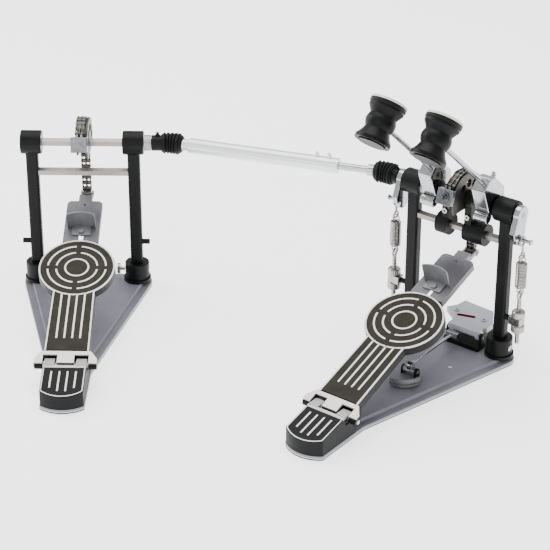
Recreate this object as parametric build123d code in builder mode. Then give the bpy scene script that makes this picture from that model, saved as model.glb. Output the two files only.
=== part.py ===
from build123d import *
import os
from math import atan2, cos, degrees, hypot, radians, sin

# Double bass drum pedal: a main station with two beaters, a slave station, and the
# telescopic drive shaft with two universal joints that carries the slave's stroke across.
# Millimetres. +X runs along the main axle, +Y to the drum, +Z up, origin on the floor
# under the middle of the main axle. Station pieces are drawn in the station's own frame.

# ---- driving dimensions -------------------------------------------------------------
AXLE_HEIGHT = 207.3
TIE_ROD_HEIGHT = 165.5
POST_SPACING = 132.0
SLAVE_X = -472.5
SLAVE_Y = -163.6
SLAVE_TURN = 36.35
MAIN_JOINT_REACH = 110.2
SLAVE_JOINT_REACH = 115.8

RUNNING_FIT = 0.05
SLACK = 0.3

# base plate and heel
PLATE_TOP = 9.0
PLATE_THICK = 2.4
RIM_TOP = 5.5
RIM_WIDTH = 9.5
FIELD_TAPER = 25
PLATE_SHOULDER = 19.0
BOLSTER_WIDTH = 14.0
PLATE_NECK_WIDTH = 27.0
PLATE_NECK_Y = -236.0
HEEL_FRONT_Y = -327.0
HEEL_HALF_WIDTH = 26.5
HEEL_TOP = 36.0
HEEL_FRONT_TOP = 23.5
HEEL_ARC = 10.0
HEEL_REAR_GAP = 7.5

# posts
POST_WIDTH = 16.0
POST_DEPTH = 13.0
SOCKET_RADIUS = 16.0
SOCKET_HEIGHT = 26.0
FLANGE_RADIUS = 18.0
FLANGE_THICK = 4.0
SET_SCREW_RADIUS = 4.0
HOUSING_RADIUS = 15.5
HOUSING_LENGTH = 27.0
STUD_HEIGHT = 66.0
STUD_RADIUS = 3.5
STUD_REACH = 84.0
STUD_ROOT = 3.0
STUD_ENGAGEMENT = 3.5

# rods and axles
HEX_FLATS = 10.0
JOURNAL_RADIUS = 4.0
BEARING_RADIUS = 11.0
BEARING_WIDTH = 7.0

# footboard
HINGE_Y = -265.0
HINGE_Z = 30.5
BOARD_DATUM_Z = 31.5
BOARD_ANGLE = 17.9
BOARD_THICK = 10.0
BOARD_TOP = 4.8
BOARD_WALL = 3.6
GRIP_THICK = 1.2
GRIP_INSET = 1.6
HEEL_END_HALF = 28.0
WAIST_HALF = 26.6
PAD_CENTRE = 158.7
PAD_RADIUS = 48.8
TOE_PLATE_HALF = 23.0
TOE_PLATE_END = 283.0
TOE_PLATE_TOP = 3.0
TAB_HALF = 8.5
TAB_END = 294.7
HINGE_HALF = 38.0
HINGE_SHEET = 2.0
HINGE_LIP = 2.0
NOTCH_INNER = 10.4
NOTCH_OUTER = 28.0
NOTCH_END = 11.0
LUG_INNER = 13.2
LUG_OUTER = 25.8
KNUCKLE_RADIUS = 4.8
HINGE_PIN_RADIUS = 2.5
TOE_STOP_S = 238.0
TOE_STOP_HALF = 18.0
TOE_STOP_HEIGHT = 25.0

# chain drive
CHAIN_PITCH = 8.0
CHAIN_TEETH = 24
CHAIN_RUN_LINKS = 11
WRAP_LINKS = 9
ROLLER_RADIUS = 2.5
CHAIN_PIN_RADIUS = 1.15
CHAIN_PIN_HALF = 6.6
LINK_HEIGHT = 7.1
STRAND_PITCH = 5.64
INNER_PLATE = 0.7
INNER_GAP = 1.55
OUTER_PLATE = 0.7
TOOTH_THICK = 2.4
CLEVIS_PIN_RADIUS = 1.5
CLEVIS_SLACK = 1.5
CLEVIS_BIAS_Y = 0.95
CLEVIS_BIAS_Z = -0.6

# beaters
MAIN_BEATER_X = 42.0
SLAVE_BEATER_X = -34.0
HUB_WIDTH = 18.6
BEATER_LEAN = 48.7
BEATER_OFFSET = 14.8
BEATER_REACH = 184.0
BEATER_ROD_RADIUS = 3.2
HEAD_HALF = 27.2
FELT_RADIUS = 22.5
FELT_THICK = 8.0
HEAD_WAIST = 14.5

# return springs
SPRING_X = 91.5
ROCKER_INNER = 80.3
ROCKER_THICK = 7.5
ROCKER_RADIUS = 31.0
ROCKER_LEAD = 5.0
ROCKER_PIN_RADIUS = 2.2
ROCKER_PIN_END = 103.0
HOOK_SLACK = 1.9
HOOK_WIRE = 1.3
HOOK_BIAS_Y = -0.8
HOOK_BIAS_Z = -1.25
SPRING_RADIUS = 7.0
SPRING_WIRE = 1.8
SPRING_LOW = 112.0
SPRING_HIGH = 147.0
BOLT_RADIUS = 2.5
BOLT_LOW = 34.7
NUT_RADIUS = 8.0

# centre bearing arms
ARM_THICK = 9.6
ARM_CLEAR_X = 11.2
ARM_EYE_RADIUS = 11.0
ARM_CLAMP_RADIUS = 14.0

# drive shaft
YOKE_RADIUS = 10.25
FORK_GAP = 10.5
FORK_INNER = 5.8
FORK_OUTER = 8.3
FORK_HALF = 4.1
BALL_RADIUS = 5.2
COLLAR_RADIUS = 7.6
COLLAR_END = 23.0
SHAFT_ROD_RADIUS = 4.8
SHAFT_ROD_END = 200.0
TUBE_RADIUS = 9.75
TUBE_START = 61.0
TUBE_COLLAR = 24.0
BOOT_INNER = 10.6
BOOT_WALL = 1.0
BOOT_RIB = 14.0
BOOT_RIB_THICK = 2.2
BOOT_HUB_REACH = 12.0
BOOT_SHAFT_REACH = 16.0

# hoop clamp
CLAMP_MOUTH_LOW = 14.5
CLAMP_PLATE_LOW = 27.5
CLAMP_PLATE_TOP = 35.0
CLAMP_PIVOT_Y = -2.0
CLAMP_PIVOT_Z = 24.0
CLAMP_ROD_X = 8.5
CLAMP_ROD_Z = 25.0
CLAMP_ROD_RADIUS = 1.8
CLAMP_NUT_GAP = 0.9
CLAMP_LEFT = -8.0
CLAMP_RIGHT = 44.0
LEVER_PIVOT_Y = -112.0
LEVER_PIVOT_Z = 18.0

# ---- derived places -----------------------------------------------------------------
POST_X = POST_SPACING / 2
HEX_CORNER = HEX_FLATS / 2 / cos(radians(30))
LOOP_RADIUS = 4.6
LOOP_RISE = 4.2
BOLT_EYE_Z = SPRING_LOW - LOOP_RISE - LOOP_RADIUS - 0.6
HOUSING_INNER = POST_X - HOUSING_LENGTH / 2
HOUSING_OUTER = POST_X + HOUSING_LENGTH / 2
POST_FACE = POST_X + POST_WIDTH / 2
PITCH_RADIUS = CHAIN_PITCH / 2 / sin(radians(180 / CHAIN_TEETH))
TOOTH_STEP = 360 / CHAIN_TEETH
CLAMP_ANGLE = WRAP_LINKS * TOOTH_STEP + 26
ANVIL_RADIUS = PITCH_RADIUS + 2.3
SEAT_RADIUS = ROLLER_RADIUS + 0.1
BOARD_BOTTOM = BOARD_TOP - BOARD_THICK
MAIN = Location((0, 0, 0))
SLAVE = Location((SLAVE_X, SLAVE_Y, 0), (0, 0, SLAVE_TURN))
AXLE_PLANE = Plane(origin=(0, 0, AXLE_HEIGHT), x_dir=(0, 1, 0), z_dir=(1, 0, 0))
TIE_PLANE = Plane(origin=(0, 0, TIE_ROD_HEIGHT), x_dir=(0, 1, 0), z_dir=(1, 0, 0))
HINGE_PLANE = Plane(origin=(0, HINGE_Y, HINGE_Z), x_dir=(0, 1, 0), z_dir=(1, 0, 0))
BOARD = Plane(
    origin=(0, HINGE_Y, BOARD_DATUM_Z),
    x_dir=(1, 0, 0),
    z_dir=(0, -sin(radians(BOARD_ANGLE)), cos(radians(BOARD_ANGLE))),
)
SLAVE_JOINT_X = SLAVE_X + SLAVE_JOINT_REACH * cos(radians(SLAVE_TURN))
SLAVE_JOINT_Y = SLAVE_Y + SLAVE_JOINT_REACH * sin(radians(SLAVE_TURN))
SHAFT_LENGTH = hypot(SLAVE_JOINT_X + MAIN_JOINT_REACH, SLAVE_JOINT_Y)
SHAFT_TURN = degrees(atan2(SLAVE_JOINT_Y, SLAVE_JOINT_X + MAIN_JOINT_REACH))
MAIN_BEND = SHAFT_TURN + 180
SHAFT = Plane(
    origin=(-MAIN_JOINT_REACH, 0, AXLE_HEIGHT),
    x_dir=(cos(radians(SHAFT_TURN)), sin(radians(SHAFT_TURN)), 0),
    z_dir=(0, 0, 1),
)
TUBE_END = SHAFT_LENGTH - TUBE_COLLAR

os.makedirs("parts", exist_ok=True)


def keep(piece, name, place=MAIN):
    """Label a finished piece, move it to its station and write its STEP file."""
    placed = piece.moved(place)
    placed.label = name
    export_step(placed, f"parts/{name}.step")


def across(x, plane=AXLE_PLANE):
    """Plane square to the axle at x, drawn in (Y, Z) measured from the plane's own axis."""
    return plane.offset(x)


def base_outline(inset=0.0):
    """Outline of the pressed plate: round shoulders about both sockets, then a long taper."""
    shoulder = PLATE_SHOULDER - inset
    neck = PLATE_NECK_WIDTH - inset
    with BuildSketch() as outline:
        with Locations((-POST_X, 0), (POST_X, 0)):
            Circle(shoulder)
        with BuildLine():
            Polyline(
                (neck, HEEL_FRONT_Y + HEEL_ARC),
                (neck, PLATE_NECK_Y),
                (POST_X + shoulder * 0.97, -6),
                (POST_X + shoulder, 0),
                (POST_X, shoulder),
                (-POST_X, shoulder),
                (-POST_X - shoulder, 0),
                (-POST_X - shoulder * 0.97, -6),
                (-neck, PLATE_NECK_Y),
                (-neck, HEEL_FRONT_Y + HEEL_ARC),
            )
            ThreePointArc(
                (-neck, HEEL_FRONT_Y + HEEL_ARC),
                (0, HEEL_FRONT_Y - 0.6 + inset),
                (neck, HEEL_FRONT_Y + HEEL_ARC),
            )
        make_face()
    return outline.sketch


def base_plate(window):
    """Pressed steel tray: raised field with a stepped rim, its skirt resting on the floor."""
    with BuildPart() as plate:
        add(base_outline())
        extrude(amount=RIM_TOP)
        with BuildSketch(Plane.XY.offset(RIM_TOP)):
            add(base_outline(RIM_WIDTH))
        extrude(amount=PLATE_TOP - RIM_TOP, taper=FIELD_TAPER)
        with BuildSketch(Plane.XY):
            add(base_outline(RIM_WIDTH + PLATE_THICK))
            Rectangle(2 * POST_X + 2 * PLATE_SHOULDER, BOLSTER_WIDTH, mode=Mode.SUBTRACT)
        extrude(amount=PLATE_TOP - PLATE_THICK, mode=Mode.SUBTRACT)
        if window:
            with BuildSketch(Plane.XY):
                with Locations((35, -63)):
                    Rectangle(7, 4)
            extrude(amount=PLATE_TOP, mode=Mode.SUBTRACT)
    return plate.part


def heel_block():
    """Moulded wedge heel rest seated over the plate's field, with two lugs on the hinge pin."""
    rear = HINGE_Y - HEEL_REAR_GAP
    slope = (HEEL_TOP - HEEL_FRONT_TOP) / (rear - HEEL_FRONT_Y)
    section = Plane(origin=(0, 0, 0), x_dir=(0, 1, 0), z_dir=(1, 0, 0))
    with BuildPart() as heel:
        with BuildSketch(Plane.XY.offset(RIM_TOP)):
            with BuildLine():
                Line((-HEEL_HALF_WIDTH, rear), (HEEL_HALF_WIDTH, rear))
                Line((HEEL_HALF_WIDTH, rear), (HEEL_HALF_WIDTH, HEEL_FRONT_Y + HEEL_ARC))
                ThreePointArc(
                    (HEEL_HALF_WIDTH, HEEL_FRONT_Y + HEEL_ARC),
                    (0, HEEL_FRONT_Y),
                    (-HEEL_HALF_WIDTH, HEEL_FRONT_Y + HEEL_ARC),
                )
                Line((-HEEL_HALF_WIDTH, HEEL_FRONT_Y + HEEL_ARC), (-HEEL_HALF_WIDTH, rear))
            make_face()
        extrude(amount=HEEL_TOP - RIM_TOP)
        fillet(heel.edges().filter_by(Axis.Z).group_by(Axis.Y)[0], 4)
        with BuildSketch(across(-HEEL_HALF_WIDTH - 1, section)):
            with BuildLine():
                Polyline(
                    (rear + 2, HEEL_TOP + 2 * slope),
                    (HEEL_FRONT_Y - 2, HEEL_FRONT_TOP - 2 * slope),
                    (HEEL_FRONT_Y - 2, HEEL_TOP + 4),
                    (rear + 2, HEEL_TOP + 4),
                    close=True,
                )
            make_face()
        extrude(amount=2 * HEEL_HALF_WIDTH + 2, mode=Mode.SUBTRACT)
        fillet(heel.faces().sort_by(Axis.Z)[-1].edges(), 0.8)
        for start in (-LUG_OUTER, LUG_INNER):
            with BuildSketch(across(start, HINGE_PLANE)):
                Circle(KNUCKLE_RADIUS)
                with Locations((-HEEL_REAR_GAP / 2 - 0.75, (HEEL_TOP - HINGE_Z - 3.5) / 2)):
                    Rectangle(HEEL_REAR_GAP + 1.5, HEEL_TOP - HINGE_Z + 3.5)
                with Locations((-1, (HEEL_TOP - HINGE_Z + 1.5) / 2)):
                    Rectangle(16, HEEL_TOP - HINGE_Z - 1.5)
            extrude(amount=LUG_OUTER - LUG_INNER)
        with BuildSketch(Plane.XY.offset(RIM_TOP)):
            with Locations((0, rear + 9)):
                Rectangle(2 * HEEL_HALF_WIDTH, 20)
        extrude(amount=HINGE_Z - KNUCKLE_RADIUS - 1.2 - RIM_TOP)
        with BuildSketch(Plane.XY.offset(RIM_TOP)):
            add(base_outline(RIM_WIDTH - RUNNING_FIT))
        extrude(amount=PLATE_TOP - RIM_TOP, taper=FIELD_TAPER, mode=Mode.SUBTRACT)
        with BuildSketch(across(-HINGE_HALF, HINGE_PLANE)):
            Circle(HINGE_PIN_RADIUS + RUNNING_FIT)
        extrude(amount=2 * HINGE_HALF, mode=Mode.SUBTRACT)
    return heel.part


def post_sockets():
    """Two turned sockets with a foot flange, bored square for the posts."""
    with BuildPart() as sockets:
        with Locations((-POST_X, 0, PLATE_TOP), (POST_X, 0, PLATE_TOP)):
            Cylinder(FLANGE_RADIUS, FLANGE_THICK, align=(Align.CENTER, Align.CENTER, Align.MIN))
            Cylinder(SOCKET_RADIUS, SOCKET_HEIGHT, align=(Align.CENTER, Align.CENTER, Align.MIN))
        fillet(sockets.edges().filter_by(GeomType.CIRCLE).group_by(Axis.Z)[-1], 1.5)
        with BuildSketch(Plane.XY.offset(PLATE_TOP)):
            with Locations((-POST_X, 0), (POST_X, 0)):
                RectangleRounded(POST_WIDTH, POST_DEPTH, 3)
        extrude(amount=SOCKET_HEIGHT, mode=Mode.SUBTRACT)
        level = Plane(origin=(0, 0, PLATE_TOP + FLANGE_THICK + 9), x_dir=(0, 1, 0), z_dir=(1, 0, 0))
        for start in (POST_X, -POST_X - SOCKET_RADIUS - 1):
            with BuildSketch(across(start, level)):
                Circle(SET_SCREW_RADIUS)
            extrude(amount=SOCKET_RADIUS + 1, mode=Mode.SUBTRACT)
    return sockets.part


def posts():
    """Two cast posts, each with its bearing housing on top and a side stud near the foot."""
    with BuildPart() as castings:
        with BuildSketch(Plane.XY.offset(PLATE_TOP)):
            with Locations((-POST_X, 0), (POST_X, 0)):
                RectangleRounded(POST_WIDTH, POST_DEPTH, 3)
        extrude(amount=AXLE_HEIGHT - PLATE_TOP - BEARING_RADIUS)
        for middle in (-POST_X, POST_X):
            with BuildSketch(across(middle - HOUSING_LENGTH / 2)):
                Circle(HOUSING_RADIUS)
            extrude(amount=HOUSING_LENGTH)
        ends = castings.edges().filter_by(GeomType.CIRCLE)
        fillet(ends.filter_by(lambda edge: abs(edge.radius - HOUSING_RADIUS) < 0.1), 1.6)
        for middle in (-POST_X, POST_X):
            with BuildSketch(across(middle - HOUSING_LENGTH / 2)):
                Circle(JOURNAL_RADIUS + 1.6)
            extrude(amount=HOUSING_LENGTH, mode=Mode.SUBTRACT)
            with BuildSketch(across(middle - HOUSING_LENGTH / 2)):
                Circle(BEARING_RADIUS)
            extrude(amount=BEARING_WIDTH, mode=Mode.SUBTRACT)
            with BuildSketch(across(middle + HOUSING_LENGTH / 2 - BEARING_WIDTH)):
                Circle(BEARING_RADIUS)
            extrude(amount=BEARING_WIDTH, mode=Mode.SUBTRACT)
        with BuildSketch(across(-POST_FACE + 3, TIE_PLANE)):
            RegularPolygon(HEX_CORNER, 6, rotation=30)
        extrude(amount=2 * POST_FACE - 6, mode=Mode.SUBTRACT)
        for start in (-STUD_REACH, POST_FACE - STUD_ROOT):
            with BuildSketch(across(start, stud_line())):
                Circle(STUD_RADIUS)
            extrude(amount=STUD_REACH - POST_FACE + STUD_ROOT)
    return castings.part


def tie_rod():
    """Hexagonal cross rod let into both posts below the axle."""
    with BuildPart() as rod:
        with BuildSketch(across(-POST_FACE + 3, TIE_PLANE)):
            RegularPolygon(HEX_CORNER, 6, rotation=30)
        extrude(amount=2 * POST_FACE - 6)
    return rod.part


# ---- footboard ----------------------------------------------------------------------
def board_outline(level, inset=0.0):
    """Tapering tread that runs into the round pad, at a level above the board's datum."""
    with BuildSketch(BOARD.offset(level)) as outline:
        with BuildLine():
            Polyline(
                (-HEEL_END_HALF + inset, 17 + inset),
                (HEEL_END_HALF - inset, 17 + inset),
                (WAIST_HALF - inset, PAD_CENTRE - 30),
                (-WAIST_HALF + inset, PAD_CENTRE - 30),
                close=True,
            )
        make_face()
        with Locations((0, PAD_CENTRE)):
            Circle(PAD_RADIUS - inset)
    return outline.sketch


def toe_outline(level):
    """Toe plate beyond the pad, with clipped corners."""
    start = PAD_CENTRE + PAD_RADIUS - 12
    with BuildSketch(BOARD.offset(level)) as outline:
        with BuildLine():
            Polyline(
                (-TOE_PLATE_HALF, start),
                (TOE_PLATE_HALF, start),
                (TOE_PLATE_HALF, TOE_PLATE_END - 4),
                (TOE_PLATE_HALF - 4, TOE_PLATE_END),
                (-TOE_PLATE_HALF + 4, TOE_PLATE_END),
                (-TOE_PLATE_HALF, TOE_PLATE_END - 4),
                close=True,
            )
        make_face()
    return outline.sketch


def castellation(front, rear, notch):
    """Plan of the hinge end, with wings at both sides and two notches for the heel's lugs."""
    with BuildSketch(BOARD) as plan:
        with BuildLine():
            Polyline(
                (-HINGE_HALF, front),
                (-HINGE_HALF, 5),
                (-HEEL_END_HALF - 2, rear),
                (HEEL_END_HALF + 2, rear),
                (HINGE_HALF, 5),
                (HINGE_HALF, front),
                (NOTCH_OUTER, front),
                (NOTCH_OUTER, notch),
                (NOTCH_INNER, notch),
                (NOTCH_INNER, front),
                (-NOTCH_INNER, front),
                (-NOTCH_INNER, notch),
                (-NOTCH_OUTER, notch),
                (-NOTCH_OUTER, front),
                close=True,
            )
        make_face()
    return plan.sketch


def footboard():
    """Cast board: tread, pad and toe plate, hollow below, with hinge knuckles at the heel end."""
    low = BOARD.offset(BOARD_BOTTOM)
    with BuildPart() as board:
        add(board_outline(BOARD_BOTTOM))
        extrude(amount=BOARD_THICK, dir=BOARD.z_dir)
        add(toe_outline(BOARD_BOTTOM))
        extrude(amount=TOE_PLATE_TOP - BOARD_BOTTOM, dir=BOARD.z_dir)
        add(castellation(0, 19, NOTCH_END - 1).moved(Location(BOARD.z_dir * BOARD_BOTTOM)))
        extrude(amount=BOARD_TOP + GRIP_THICK - HINGE_SHEET - BOARD_BOTTOM, dir=BOARD.z_dir)
        for start, end in (
            (-HINGE_HALF, -NOTCH_OUTER),
            (-NOTCH_INNER, NOTCH_INNER),
            (NOTCH_OUTER, HINGE_HALF),
        ):
            with BuildSketch(across(start, HINGE_PLANE)):
                Circle(KNUCKLE_RADIUS)
            extrude(amount=end - start)
        with BuildSketch(across(-HINGE_HALF, HINGE_PLANE)):
            Circle(HINGE_PIN_RADIUS)
        extrude(amount=2 * HINGE_HALF, mode=Mode.SUBTRACT)
        with BuildSketch(BOARD):
            with Locations((0, (TOE_PLATE_END + TAB_END) / 2 - 2)):
                Rectangle(2 * TAB_HALF, TAB_END - TOE_PLATE_END + 4)
        extrude(amount=TOE_PLATE_TOP)
        with BuildSketch(low):
            with BuildLine():
                Polyline(
                    (-WAIST_HALF + BOARD_WALL, 24),
                    (WAIST_HALF - BOARD_WALL, 24),
                    (WAIST_HALF - BOARD_WALL, PAD_CENTRE - 30),
                    (-WAIST_HALF + BOARD_WALL, PAD_CENTRE - 30),
                    close=True,
                )
            make_face()
            with Locations((0, PAD_CENTRE)):
                Circle(PAD_RADIUS - BOARD_WALL)
        extrude(amount=BOARD_THICK - BOARD_WALL, mode=Mode.SUBTRACT)
        with BuildSketch(low):
            with Locations((0, (PAD_CENTRE + PAD_RADIUS + TOE_PLATE_END) / 2)):
                Rectangle(
                    2 * (TOE_PLATE_HALF - BOARD_WALL),
                    TOE_PLATE_END - PAD_CENTRE - PAD_RADIUS - 2 * BOARD_WALL,
                )
        extrude(amount=BOARD_THICK - BOARD_WALL - 1.6, mode=Mode.SUBTRACT)
        with BuildSketch(BOARD):
            with Locations((0, TOE_STOP_S - 16)):
                SlotOverall(30, 6, rotation=90)
            with Locations((0, TOE_PLATE_END - 8)):
                Circle(2.2)
        extrude(amount=BOARD_THICK, both=True, mode=Mode.SUBTRACT)
    return board.part


def grip():
    """Inlaid traction sheet on the tread and pad."""
    with BuildPart() as sheet:
        add(board_outline(BOARD_TOP, GRIP_INSET))
        extrude(amount=GRIP_THICK, dir=BOARD.z_dir)
    return sheet.part


def hinge_plate():
    """Castellated hinge sheet across the board's heel end, and the hinge pin."""
    with BuildPart() as plate:
        sheet_low = BOARD.z_dir * (BOARD_TOP + GRIP_THICK - HINGE_SHEET)
        add(castellation(-HINGE_LIP, 17 - SLACK, NOTCH_END).moved(Location(sheet_low)))
        extrude(amount=HINGE_SHEET, dir=BOARD.z_dir)
    with BuildPart() as pin:
        with BuildSketch(across(-HINGE_HALF - 1.5, HINGE_PLANE)):
            Circle(HINGE_PIN_RADIUS)
        extrude(amount=2 * HINGE_HALF + 3)
    return Compound(children=[plate.part, pin.part])


def toe_stop():
    """Bent steel toe stop with a bowed upright, and its clamp screw in the board's slot."""
    base_end = TOE_STOP_S - 3
    with BuildPart() as stop:
        with BuildSketch(BOARD.offset(TOE_PLATE_TOP + RUNNING_FIT)):
            with Locations((0, TOE_STOP_S - 10)):
                Rectangle(24, 20)
        extrude(amount=2 - RUNNING_FIT)
        with BuildSketch(BOARD.offset(TOE_PLATE_TOP + RUNNING_FIT)):
            with BuildLine():
                ThreePointArc(
                    (-TOE_STOP_HALF, base_end - 2), (0, TOE_STOP_S), (TOE_STOP_HALF, base_end - 2)
                )
                ThreePointArc(
                    (TOE_STOP_HALF, base_end - 4), (0, TOE_STOP_S - 2), (-TOE_STOP_HALF, base_end - 4)
                )
                Line((-TOE_STOP_HALF, base_end - 2), (-TOE_STOP_HALF, base_end - 4))
                Line((TOE_STOP_HALF, base_end - 2), (TOE_STOP_HALF, base_end - 4))
            make_face()
        extrude(amount=TOE_STOP_HEIGHT)
    with BuildPart() as screw:
        with BuildSketch(BOARD.offset(TOE_PLATE_TOP + 2)):
            with Locations((0, TOE_STOP_S - 14)):
                Circle(4)
        extrude(amount=2.5)
        with BuildSketch(BOARD.offset(-2)):
            with Locations((0, TOE_STOP_S - 14)):
                Circle(2)
        extrude(amount=TOE_PLATE_TOP + 4)
    with BuildPart() as bore:
        with BuildSketch(BOARD.offset(TOE_PLATE_TOP)):
            with Locations((0, TOE_STOP_S - 14)):
                Circle(2)
        extrude(amount=2)
    return Compound(children=[stop.part - bore.part, screw.part])


# ---- chain drive --------------------------------------------------------------------
def chain_pins_wrapped():
    """Pin centres on the sprocket, from the drum side over the top, about the axle."""
    turns = [radians(TOOTH_STEP * step) for step in range(WRAP_LINKS + 1)]
    return [(PITCH_RADIUS * cos(turn), PITCH_RADIUS * sin(turn)) for turn in turns]


def chain_pins_run():
    """Pin centres down the free run, from the sprocket's drum side, about the axle."""
    return [(PITCH_RADIUS, -CHAIN_PITCH * step) for step in range(CHAIN_RUN_LINKS + 1)]


def chain(pins, outer_first, skip_pin, eye):
    """Duplex roller chain through the given pins, alternating inner and outer links."""
    strands = (-STRAND_PITCH / 2, STRAND_PITCH / 2)
    inner_x = [strand + step for strand in strands for step in (INNER_GAP, -INNER_GAP - INNER_PLATE)]
    outer_x = (-5.9, -0.42, 5.2)
    outer_thick = (OUTER_PLATE, 0.84, OUTER_PLATE)
    rollers = [pin for count, pin in enumerate(pins) if count != skip_pin]
    with BuildPart() as links:
        for phase, offsets in ((0 if outer_first else 1, "outer"), (1 if outer_first else 0, "inner")):
            places = zip(outer_x, outer_thick) if offsets == "outer" else ((x, INNER_PLATE) for x in inner_x)
            for x, thick in places:
                with BuildSketch(across(x)):
                    for step in range(phase, len(pins) - 1, 2):
                        (y1, z1), (y2, z2) = pins[step], pins[step + 1]
                        turn = degrees(atan2(z2 - z1, y2 - y1))
                        with Locations(Location(((y1 + y2) / 2, (z1 + z2) / 2, 0), (0, 0, turn))):
                            SlotCenterToCenter(hypot(y2 - y1, z2 - z1), LINK_HEIGHT)
                extrude(amount=thick)
        for strand in strands:
            with BuildSketch(across(strand - INNER_GAP)):
                with Locations(*rollers):
                    Circle(ROLLER_RADIUS)
            extrude(amount=2 * INNER_GAP)
        with BuildSketch(across(-CHAIN_PIN_HALF)):
            with Locations(*rollers):
                Circle(CHAIN_PIN_RADIUS)
        extrude(amount=2 * CHAIN_PIN_HALF)
        if eye:
            half = STRAND_PITCH / 2 + INNER_GAP + INNER_PLATE
            with BuildSketch(across(-half)):
                with Locations(pins[-1]):
                    Circle(CLEVIS_PIN_RADIUS + CLEVIS_SLACK + 2)
            extrude(amount=2 * half)
        hole = CLEVIS_PIN_RADIUS + CLEVIS_SLACK if eye else CHAIN_PIN_RADIUS + RUNNING_FIT
        with BuildSketch(across(-CHAIN_PIN_HALF)):
            with Locations(pins[skip_pin]):
                Circle(hole)
        extrude(amount=2 * CHAIN_PIN_HALF, mode=Mode.SUBTRACT)
    return links.part


def sprocket():
    """Half wheel with two toothed rims, a side flange and an anvil for the chain clamp."""
    hub = 13.0
    rim = PITCH_RADIUS + 1.8
    with BuildPart() as wheel:
        for x in (-STRAND_PITCH / 2 - TOOTH_THICK / 2, STRAND_PITCH / 2 - TOOTH_THICK / 2):
            with BuildSketch(across(x)):
                Circle(rim)
                with PolarLocations(PITCH_RADIUS, CHAIN_TEETH):
                    Circle(SEAT_RADIUS, mode=Mode.SUBTRACT)
                with Locations((0, -4 - rim)):
                    Rectangle(2 * rim, 2 * rim, mode=Mode.SUBTRACT)
                with PolarLocations(19.5, 3, start_angle=25, angular_range=120):
                    Circle(4.2, mode=Mode.SUBTRACT)
            extrude(amount=TOOTH_THICK)
        with BuildSketch(across(7.7)):
            Circle(rim + 0.4)
            with Locations((0, -12 - rim)):
                Rectangle(2.2 * rim, 2 * rim, mode=Mode.SUBTRACT)
            with PolarLocations(20, 4, start_angle=12, angular_range=150):
                Circle(5.2, mode=Mode.SUBTRACT)
        extrude(amount=2.4)
        with BuildSketch(across(-7)):
            Circle(hub)
        extrude(amount=17.1)
        with BuildSketch(across(-8)):
            with PolarLocations(ANVIL_RADIUS - 5.1, 1, start_angle=CLAMP_ANGLE):
                Rectangle(10, 16)
        extrude(amount=16)
        with BuildSketch(across(-11)):
            RegularPolygon(HEX_CORNER + RUNNING_FIT, 6, rotation=30)
        extrude(amount=24, mode=Mode.SUBTRACT)
    return wheel.part


def chain_clamp():
    """Chrome block that holds the chain's end on the sprocket, with washer and square screw."""
    face = Plane(AXLE_PLANE.location * Location((0, 0, 0), (0, 0, CLAMP_ANGLE)))
    seat = ANVIL_RADIUS
    with BuildPart() as block:
        with BuildSketch(face.offset(-10.5)):
            with Locations((seat + 4, 0)):
                Rectangle(8, 20)
        extrude(amount=21)
        fillet(block.edges(), 0.9)
    with BuildPart() as tabs:
        for x in (-STRAND_PITCH / 2 - 1.5, STRAND_PITCH / 2 - 1.5):
            with BuildSketch(face.offset(x)):
                with Locations((seat + 2.4, -11.2)):
                    Rectangle(3.4, 4)
            extrude(amount=3)
    with BuildPart() as screw:
        with BuildSketch(Plane(origin=face.origin, x_dir=(1, 0, 0), z_dir=face.x_dir).offset(seat + 8)):
            Circle(7)
        extrude(amount=1.4)
        with BuildSketch(Plane(origin=face.origin, x_dir=(1, 0, 0), z_dir=face.x_dir).offset(seat + 9.4)):
            Circle(4.6)
        extrude(amount=2.6)
        with BuildSketch(Plane(origin=face.origin, x_dir=(1, 0, 0), z_dir=face.x_dir).offset(seat + 12)):
            Rectangle(4.6, 4.6)
        extrude(amount=3)
    return Compound(children=[block.part + tabs.part, screw.part])


def clevis():
    """Forked chain anchor under the board's tab, with its riveted cross pin."""
    pin_y = PITCH_RADIUS + CLEVIS_BIAS_Y - HINGE_Y
    pin_z = AXLE_HEIGHT - CHAIN_PITCH * CHAIN_RUN_LINKS + CLEVIS_BIAS_Z - BOARD_DATUM_Z
    turn = radians(BOARD_ANGLE)
    pin_s = pin_y * cos(turn) + pin_z * sin(turn)
    pin_n = pin_z * cos(turn) - pin_y * sin(turn)
    side = Plane(origin=BOARD.origin, x_dir=BOARD.y_dir, z_dir=(1, 0, 0))
    inner = 6.2
    outer = 8.3
    with BuildPart() as fork:
        with BuildSketch(side.offset(-outer)):
            with Locations((pin_s, pin_n)):
                Circle(4.4)
            with Locations((pin_s - 10, pin_n + 2)):
                Rectangle(20, 5.4)
            with Locations((TAB_END - 6, -3.2)):
                Rectangle(10, 6.2)
        extrude(amount=2 * outer)
        with BuildSketch(side.offset(-inner)):
            with Locations((pin_s, pin_n + 2)):
                Rectangle(18, 30)
        extrude(amount=2 * inner, mode=Mode.SUBTRACT)
        with BuildSketch(side.offset(-outer - 0.8)):
            with Locations((pin_s, pin_n)):
                Circle(CLEVIS_PIN_RADIUS)
        extrude(amount=2 * outer + 1.6)
    return fork.part


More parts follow.
